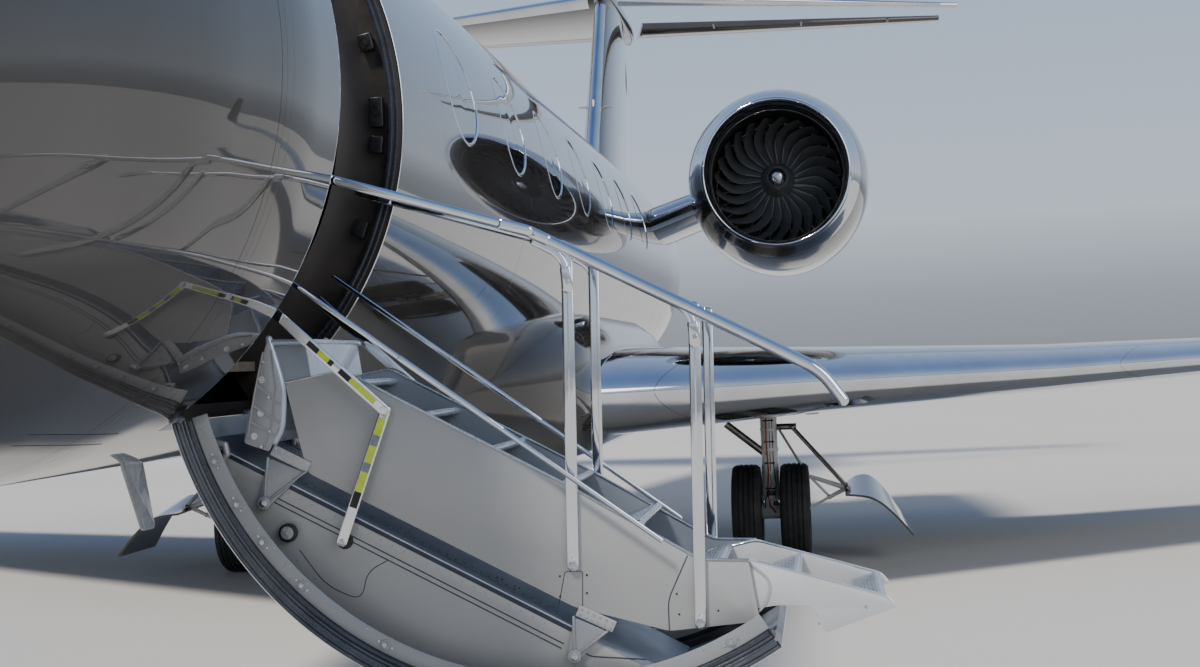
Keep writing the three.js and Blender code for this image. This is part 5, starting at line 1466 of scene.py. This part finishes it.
def wheel(x, station, z, rim, half, outward):
    """A dished wheel with a rolled rim, tie bolts and a hub cap."""
    face = x + outward * half
    dish = ((0.16, 18), (0.30, 16), (0.42, 34), (0.72, 38), (0.84, 20), (0.97, 6))
    profile = [(rim * share, face - outward * deep) for share, deep in dish]
    profile += [(rim, face), (rim, x - outward * half), (rim * 0.9, x - outward * half),
                (rim * 0.7, x - outward * 10), (rim * 0.16, x - outward * 10)]
    parts = [turned(profile + profile[:1], (0, station, z), "x", 56)]
    for k in range(10):
        turn = 2 * math.pi * k / 10
        spot = at(face - outward * 37, station + rim * 0.55 * math.sin(turn), z + rim * 0.55 * math.cos(turn))
        parts.append(rod(spot, spot + Vector((outward * 0.014, 0, 0)), rim * 0.04, 6))
    hub = [(0, face + outward * 4), (rim * 0.12, face + outward * 3), (rim * 0.17, face - outward * 8),
           (rim * 0.18, face - outward * 30)]
    parts.append(turned(hub, (0, station, z), "x", 32))
    return joined(*parts)


def add_wheels():
    for sign, side in SIDES:
        body = f"main_wheels_{side}"
        hubs = [rod(at(sign * (MAIN["x"] - 300), MAIN["station"], MAIN["radius"]),
                    at(sign * (MAIN["x"] + 300), MAIN["station"], MAIN["radius"]), 44, 28)]
        for label, off in (("inner", -1), ("outer", 1)):
            x = sign * (MAIN["x"] + off * MAIN["twin"])
            rubber = turned(tyre_profile(x, MAIN["radius"], MAIN["half"], MAIN["rim"]),
                            (0, MAIN["station"], MAIN["radius"]), "x", 96)
            tyre = f"main_tyre_{label}_{side}"
            piece(f"{tyre}_rubber", rubber, tyre_rubber, body, [tyre], "tyre_rubber", sharp=25)
            hubs.append(wheel(x, MAIN["station"], MAIN["radius"], MAIN["rim"], MAIN["rim_half"], sign * off))
        wheels = f"main_wheels_{side}"
        piece(f"{wheels}_hubs", joined(*hubs), gear_grey, body, [wheels], "gear_paint")
    hubs = [rod(at(-210, NOSE["station"], NOSE["radius"]), at(210, NOSE["station"], NOSE["radius"]), 31, 24)]
    for sign, side in SIDES:
        x = sign * NOSE["twin"]
        rubber = turned(tyre_profile(x, NOSE["radius"], NOSE["half"], NOSE["rim"]),
                        (0, NOSE["station"], NOSE["radius"]), "x", 80)
        piece(f"nose_tyre_{side}_rubber", rubber, tyre_rubber, "nose_wheels", [f"nose_tyre_{side}"],
              "tyre_rubber", sharp=25)
        hubs.append(wheel(x, NOSE["station"], NOSE["radius"], NOSE["rim"], NOSE["rim_half"], sign))
    piece("nose_wheel_hubs", joined(*hubs), gear_grey, "nose_wheels", ["nose_wheels"], "gear_paint")


DOOR_ROWS = [
    # x, z and how much higher the rear edge stands than the front edge
    (3170, 635, 30), (3280, 665, 110), (3390, 660, 140), (3480, 610, 130), (3560, 530, 100), (3670, 390, 50),
    (3780, 230, 0),
]
DOOR_HALF = 470


def scissor_link(x, station0, z0, station1, z1, wide0, wide1):
    """A forged torque link: two tapering arms joined by a web."""
    parts = []
    for off in (-1, 1):
        parts.append(rod(at(x + off * wide0, station0, z0), at(x + off * wide1, station1, z1), 15, 16, 12))
    parts.append(rod(at(x - wide0 - 16, station0, z0), at(x + wide0 + 16, station0, z0), 19, 20))
    parts.append(rod(at(x - wide1 - 12, station1, z1), at(x + wide1 + 12, station1, z1), 17, 20))
    middle = (station0 + station1) / 2, (z0 + z1) / 2
    parts.append(rod(at(x - wide0, *middle), at(x + wide0, *middle), 9, 12))
    return parts


def add_main_gear():
    station, axle = MAIN["station"], MAIN["radius"]
    for sign, side in SIDES:
        x = sign * MAIN["x"]
        cylinder = [rounded(rod(at(x, station, 560), at(x, station, 1440), 79, 48), 4),
                    rounded(rod(at(x, station, 548), at(x, station, 596), 87, 48), 5),
                    rounded(rod(at(x, station, 800), at(x, station, 824), 83, 48), 4),
                    rounded(rod(at(x, station, 1010), at(x, station, 1042), 86, 48), 4),
                    rounded(rod(at(x, station, 1200), at(x, station, 1226), 85, 48), 4),
                    rounded(rod(at(x - 88, station, axle), at(x + 88, station, axle), 74, 40), 5),
                    rounded(block(x - 62, x + 62, station - 66, station + 66, axle + 40, axle + 110), 12, 3)]
        cylinder += [rounded(block(x - 24, x + 24, station + 40, station + 96, 975, 1030), 8),
                     rounded(block(x - 24, x + 24, station + 40, station + 96, 492, 545), 8)]
        piece(f"main_leg_{side}_casting", joined(*cylinder), gear_grey, "airframe",
              [f"main_gear_leg_{side}"], "gear_paint")
        shiny = rod(at(x, station, axle + 90), at(x, station, 570), 50, 40)
        piece(f"main_leg_{side}_piston", shiny, chrome)
        links = scissor_link(x, station + 78, 1000, station + 285, 762, 44, 16)
        links += scissor_link(x, station + 78, 520, station + 285, 742, 44, 16)
        piece(f"main_leg_{side}_links", joined(*links), gear_grey)
        brace = [rod(at(x - sign * 40, station, 985), at(x - sign * 400, station - 40, 1280), 34, 24),
                 rod(at(x - sign * 20, station - 76, 1000), at(x - sign * 20, station + 76, 1000), 28, 20)]
        piece(f"main_leg_{side}_brace", joined(*brace), strut_brown)
        hoses = [pipe([(x - sign * 20, station - 74, 1390), (x - sign * 26, station - 80, 1100),
                       (x - sign * 14, station - 82, 820), (x - sign * 30, station - 78, 620),
                       (x - sign * 10, station - 84, 500), (x + sign * 40, station - 70, 430)], 7)]
        piece(f"main_leg_{side}_hose", joined(*hoses), hose_red)
        lines = [pipe([(x + sign * 30, station - 68, 1400), (x + sign * 34, station - 72, 900),
                       (x + sign * 52, station - 84, 700), (x + sign * 40, station - 70, 560)], 5),
                 pipe([(x + sign * 8, station - 74, 1380), (x + sign * 4, station - 76, 700),
                       (x - sign * 50, station - 90, 560), (x - sign * 60, station - 60, 470)], 5)]
        clamps = [rod(at(x - 46, station - 72, z), at(x + 46, station - 72, z), 9, 12)
                  for z in (1300, 1100, 900, 660)]
        clamps += [rounded(block(x - 40, x + 36, station - 92, station - 62, 596, 640), 5),
                   rounded(block(x + 20, x + 70, station - 84, station - 50, 500, 540), 5)]
        piece(f"main_leg_{side}_lines", joined(*lines, *clamps), black_fitting)

        curve = curved_profile([row[:2] for row in DOOR_ROWS], 6)
        rises = curved_profile([row[::2] for row in DOOR_ROWS], 6)

        def spot(k, part, sign=sign):
            px, pz = curve[int(k)]
            return at(sign * px, station + part * DOOR_HALF, pz + part * rises[int(k)][1] / 2)
        skin = surface(list(range(len(curve))), spread([-1, 1], [14]), spot)
        bmesh.ops.recalc_face_normals(skin, faces=skin.faces)
        inward = [f for f in skin.faces if f.normal.x * sign + f.normal.z < 0]
        if len(inward) > len(skin.faces) / 2:
            bmesh.ops.reverse_faces(skin, faces=skin.faces)
        piece(f"main_door_{side}_skin", skin, bronze, "airframe", [f"main_gear_door_{side}"],
              "body_paint", thick=20)
        rods = []
        for off in (-160, 160):
            top, low = at(sign * 2700, station + off * 0.2, 1230), at(sign * 3190, station + off, 655)
            rods += [rod(top, low, 19, 20, 15), ball(low, 25, 20), ball(top, 27, 20)]
        rods.append(rod(at(sign * 2555, station, 1235), at(sign * 2740, station, 1235), 30, 24))
        rods.append(rod(at(sign * 3205, station - 200, 655), at(sign * 3205, station + 200, 655), 18, 20))
        low = [rod(at(sign * 2830, station - 90, 462), at(x + sign * 70, station - 60, 452), 10, 16),
               rod(at(sign * 2830, station - 90, 462), at(sign * 3030, station - 90, 570), 12, 16),
               ball(at(sign * 2830, station - 90, 462), 20, 16),
               ball(at(x + sign * 78, station - 60, 452), 18, 16),
               rod(at(sign * 2830, station - 60, 770), at(sign * 3170, station - 60, 650), 17, 20, 26),
               rod(at(sign * 3020, station - 60, 560), at(sign * 3180, station - 60, 640), 17, 20, 22),
               rod(at(sign * 2850, station - 60, 762), at(sign * 3030, station - 60, 566), 13, 20),
               ball(at(sign * 2830, station - 60, 770), 24, 18),
               ball(at(sign * 3025, station - 70, 566), 24, 18)]
        rods.append(rod(at(sign * 2575, station - 60, 1220), at(sign * 2830, station - 60, 772), 12, 20))
        piece(f"main_door_{side}_rods", joined(*rods), strut_brown)
        piece(f"main_door_{side}_link", joined(*low), gear_grey)


def add_nose_gear():
    station = NOSE["station"]
    leg = [rounded(rod(at(0, station, 702), at(0, station, 1690), 62, 40), 4),
           rounded(rod(at(0, station, 860), at(0, station, 900), 72, 40), 4),
           rod(at(0, station + 20, 900), at(0, station - 700, 1700), 30, 24, 24),
           rod(at(-70, station, 880), at(70, station, 880), 22, 20)]
    piece("nose_leg_casting", joined(*leg), gear_grey, "airframe", ["nose_gear_leg"], "gear_paint")
    fork = [rounded(rod(at(0, station, 560), at(0, station, 699), 72, 40), 5),
            rounded(rod(at(-58, station, 270), at(58, station, 270), 57, 40), 5),
            rounded(block(-48, 48, station - 40, station + 40, 300, 352), 10)]
    fork += scissor_link(0, station - 66, 600, station - 190, 450, 30, 12)
    fork += scissor_link(0, station - 50, 310, station - 190, 440, 30, 12)
    piece("nose_fork_casting", joined(*fork), gear_grey, "nose_fork", ["nose_gear_fork"], "gear_paint")
    piece("nose_fork_piston", rod(at(0, station, 330), at(0, station, 575), 42, 36), chrome, "nose_fork")
    lamp = rounded(rod(at(0, station - 74, 1010), at(0, station - 130, 1010), 62, 36), 6)
    piece("nose_leg_lamp_case", lamp, machined)
    piece("nose_leg_lamp_lens", ball_cap((0, station - 128, 1010), 55), lamp_white)


def ball_cap(centre, radius):
    bm = ball(at(*centre), radius, 32)
    bmesh.ops.scale(bm, vec=(1, 0.25, 1), space=Matrix.Translation(-at(*centre)), verts=bm.verts)
    return bm


# Cabin and cockpit insides

SEAT_ROWS = [(3450, 430), (7900, 720), (9700, 720), (12300, 720), (14100, 720)]
FLOOR_TOP = 1960


def seat(station, x):
    low = FLOOR_TOP + 10
    soft = [rounded(block(x - 272, x + 272, station - 300, station + 215, low + 300, low + 448), 60, 5),
            rounded(block(x - 262, x + 262, station + 205, station + 338, low + 330, low + 820), 50, 5),
            rounded(block(x - 175, x + 175, station + 195, station + 325, low + 800, low + 996), 50, 5)]
    for off in (-1, 1):
        soft.append(rounded(block(x + off * 246 - 34, x + off * 246 + 34, station - 250, station + 220,
                                  low + 430, low + 590), 26, 4))
    base = [rounded(block(x - 150, x + 150, station - 200, station + 200, low, low + 225), 14, 3),
            rounded(block(x - 240, x + 240, station - 270, station + 260, low + 220, low + 305), 20, 3)]
    return soft, base


def floor_half(station):
    """Half the width inside the hull wall at the underside of the floor."""
    half, top, bottom = row_at(HULL_ROWS, station)
    drop = ((top + bottom) / 2 - (FLOOR_TOP - 40)) / ((top - bottom) / 2 - SKIN_WALL - 6)
    return (half - SKIN_WALL - 6) * math.sqrt(max(1 - drop ** 2, 0.01))


def add_cabin():
    soft, bases = [], []
    for station, x in SEAT_ROWS:
        for sign, _ in SIDES:
            cushions, foot = seat(station, sign * x)
            soft += cushions
            bases += foot
    piece("seat_cushions", joined(*soft), leather, "airframe", ["cabin_furniture"], "cabin_trim")
    bases.append(rounded(block(-150, 150, 2600, 3200, FLOOR_TOP + 1, 2640), 20, 3))
    piece("seat_bases", joined(*bases), black_fitting)
    panel = rounded(block(-890, 890, 2490, 2640, 2600, 3170), 40, 4)
    screens = [rounded(block(x - 130, x + 130, 2640, 2648, 2800, 3060), 10, 2)
               for x in (-560, -190, 190, 560)]
    piece("instrument_panel", panel, black_fitting)
    piece("instrument_screens", joined(*screens), tinted)
    arc = [(1270 * math.cos(math.radians(a)), HULL_CENTRE + 1270 * math.sin(math.radians(a)))
           for a in range(130, 226, 6)]
    closet = plate([(-520, FLOOR_TOP + 1), (-520, 3895)] + arc, 4655, 6495)
    piece("closet", rounded(closet, 6, 2), walnut)
    handles = [rod(at(-512, s, 2900), at(-512, s, 3060), 8, 12) for s in (5100, 5500, 6100)]
    piece("closet_handles", joined(*handles), chrome)

    def inner(station, angle):
        return hull_point(station, angle, 66)
    def open_here(station, angle):
        if in_doorway(station, angle) or 4700 < station < 5950 and -62 < angle < 55:
            return False
        height = hull_point(station, angle, 66).z * 1000
        if station < 4300:
            return height < 3280
        return abs(height - WINDOW["z"]) > WINDOW["high"] + 60 or station < 6700 or station > 16300
    lining = surface(spread([2200, 4700, 5950, 18400], [50, 12, 60]),
                     spread([-48, 55, 228], [60, 110]), inner, keep=open_here)
    bmesh.ops.recalc_face_normals(lining, faces=lining.faces)
    piece("cabin_lining", lining, lining_cream)
    edge = [(floor_half(s), s) for s in spread([2360, 4700], [12])]
    port = edge + [(edge[-1][0], 4780), (726, 4780), (726, 5870), (edge[-1][0], 5870), (edge[-1][0], 18390)]
    outline = port[::-1] + [(-x, s) for x, s in edge] + [(-edge[-1][0], 18390)]
    floor = plate(outline, FLOOR_TOP - 38, FLOOR_TOP, "z")
    piece("cabin_carpet", floor, carpet, "airframe", ["cabin_floor"], "cabin_trim")


# Small parts of the skin

BLADE = [(6180, 1600), (6428, 1248), (6445, 1240), (6548, 1240), (6562, 1252), (6420, 1600)]


def add_skin_parts():
    blade = rounded(plate(rounded_outline(BLADE, 12), -10, 10, "x"), 7, 3, 40)
    piece("belly_blade", blade, composite_grey)
    seams = []
    for station in (4302, 8875, 11775, 14675, 17575):
        ring = turned([(1385.8, station - 1.3), (1385.8, station + 1.3)], (0, 0, HULL_CENTRE), "y", 160)
        seams.append(ring)
    piece("skin_seams", joined(*seams), seam_dark)
    panel = []
    for low, high, near, far in ((-63, -60.2, 3900, 4500), (-86, -94, 8200, 9400)):
        for a in (low, high):
            panel.append(surface(spread([near, far], [10]), [a - 0.06, a + 0.06],
                                 lambda s, v: hull_point(s, v, -0.8)))
    piece("panel_seams", joined(*panel), seam_dark)


# Stage, lights and camera

BACKDROP = [
    # height in the backdrop, from the horizon to straight up, and its colour
    (0.0, (0.30, 0.33, 0.37)), (0.03, (0.36, 0.40, 0.46)), (0.075, (0.60, 0.68, 0.78)),
    (0.25, (0.42, 0.54, 0.74)), (1.0, (0.09, 0.18, 0.44)),
]
LIGHTS = [
    # name, place in metres, breadth in degrees, strength and colour, all aimed at the middle
    ("key", (-9, -14, 22), 9, 4.0, (1.0, 0.96, 0.90)),
    ("fill", (20, -16, 12), 40, 1.0, (1.0, 0.98, 0.95)),
]


def add_stage():
    bm = bmesh.new()
    bmesh.ops.create_grid(bm, x_segments=1, y_segments=1, size=400)
    mesh = bpy.data.meshes.new("floor")
    bm.to_mesh(mesh)
    bm.free()
    floor = bpy.data.objects.new("floor", mesh)
    bpy.context.scene.collection.objects.link(floor)
    material = surfaced("pale_floor", (0.53, 0.505, 0.46), (0.57, 0.545, 0.50), (0.85, 0.95), 0.4,
                        specular_ior_level=0.1)
    mesh.materials.append(material)

    world = bpy.data.worlds.new("soft_studio")
    bpy.context.scene.world = world
    world.use_nodes = True
    nodes, links = world.node_tree.nodes, world.node_tree.links
    where = nodes.new("ShaderNodeTexCoord")
    split = nodes.new("ShaderNodeSeparateXYZ")
    ramp = nodes.new("ShaderNodeValToRGB")
    links.new(where.outputs["Generated"], split.inputs["Vector"])
    links.new(split.outputs["Z"], ramp.inputs["Fac"])
    ramp.color_ramp.elements[0].color = (*BACKDROP[0][1], 1)
    ramp.color_ramp.elements[1].color = (*BACKDROP[-1][1], 1)
    for place, colour in BACKDROP[1:-1]:
        stop = ramp.color_ramp.elements.new(place)
        stop.color = (*colour, 1)
    links.new(ramp.outputs["Color"], nodes["Background"].inputs["Color"])
    nodes["Background"].inputs["Strength"].default_value = 1.0

    for name, place, breadth, power, colour in LIGHTS:
        light = bpy.data.lights.new(name, "SUN")
        light.angle = math.radians(breadth)
        light.energy = power
        light.color = colour
        lamp = bpy.data.objects.new(name, light)
        bpy.context.scene.collection.objects.link(lamp)
        lamp.location = place
        lamp.rotation_euler = (-Vector(place)).to_track_quat("-Z", "Y").to_euler()


CAMERA = {"place": (2.99, -15.90, 1.90), "yaw": 6.937, "pitch": 0.946, "roll": -2.2, "lens": 54}


def add_camera():
    data = bpy.data.cameras.new("camera")
    data.lens = CAMERA["lens"]
    data.sensor_width = 36
    data.clip_end = 2000
    camera = bpy.data.objects.new("camera", data)
    bpy.context.scene.collection.objects.link(camera)
    turn = (Matrix.Rotation(math.radians(CAMERA["yaw"]), 4, "Z")
            @ Matrix.Rotation(math.radians(90 + CAMERA["pitch"]), 4, "X")
            @ Matrix.Rotation(math.radians(CAMERA["roll"]), 4, "Z"))
    camera.matrix_world = Matrix.Translation(CAMERA["place"]) @ turn
    bpy.context.scene.camera = camera


add_hull()
add_windows()
add_windscreen()
add_jamb()
add_door()
add_door_box()
add_flight()
add_extension()
add_stays()
add_rails()
add_wings()
add_belly()
add_tail()
add_nacelles()
add_fans()
add_pylons()
add_wheels()
add_main_gear()
add_nose_gear()
add_cabin()
add_skin_parts()
add_stage()
add_camera()
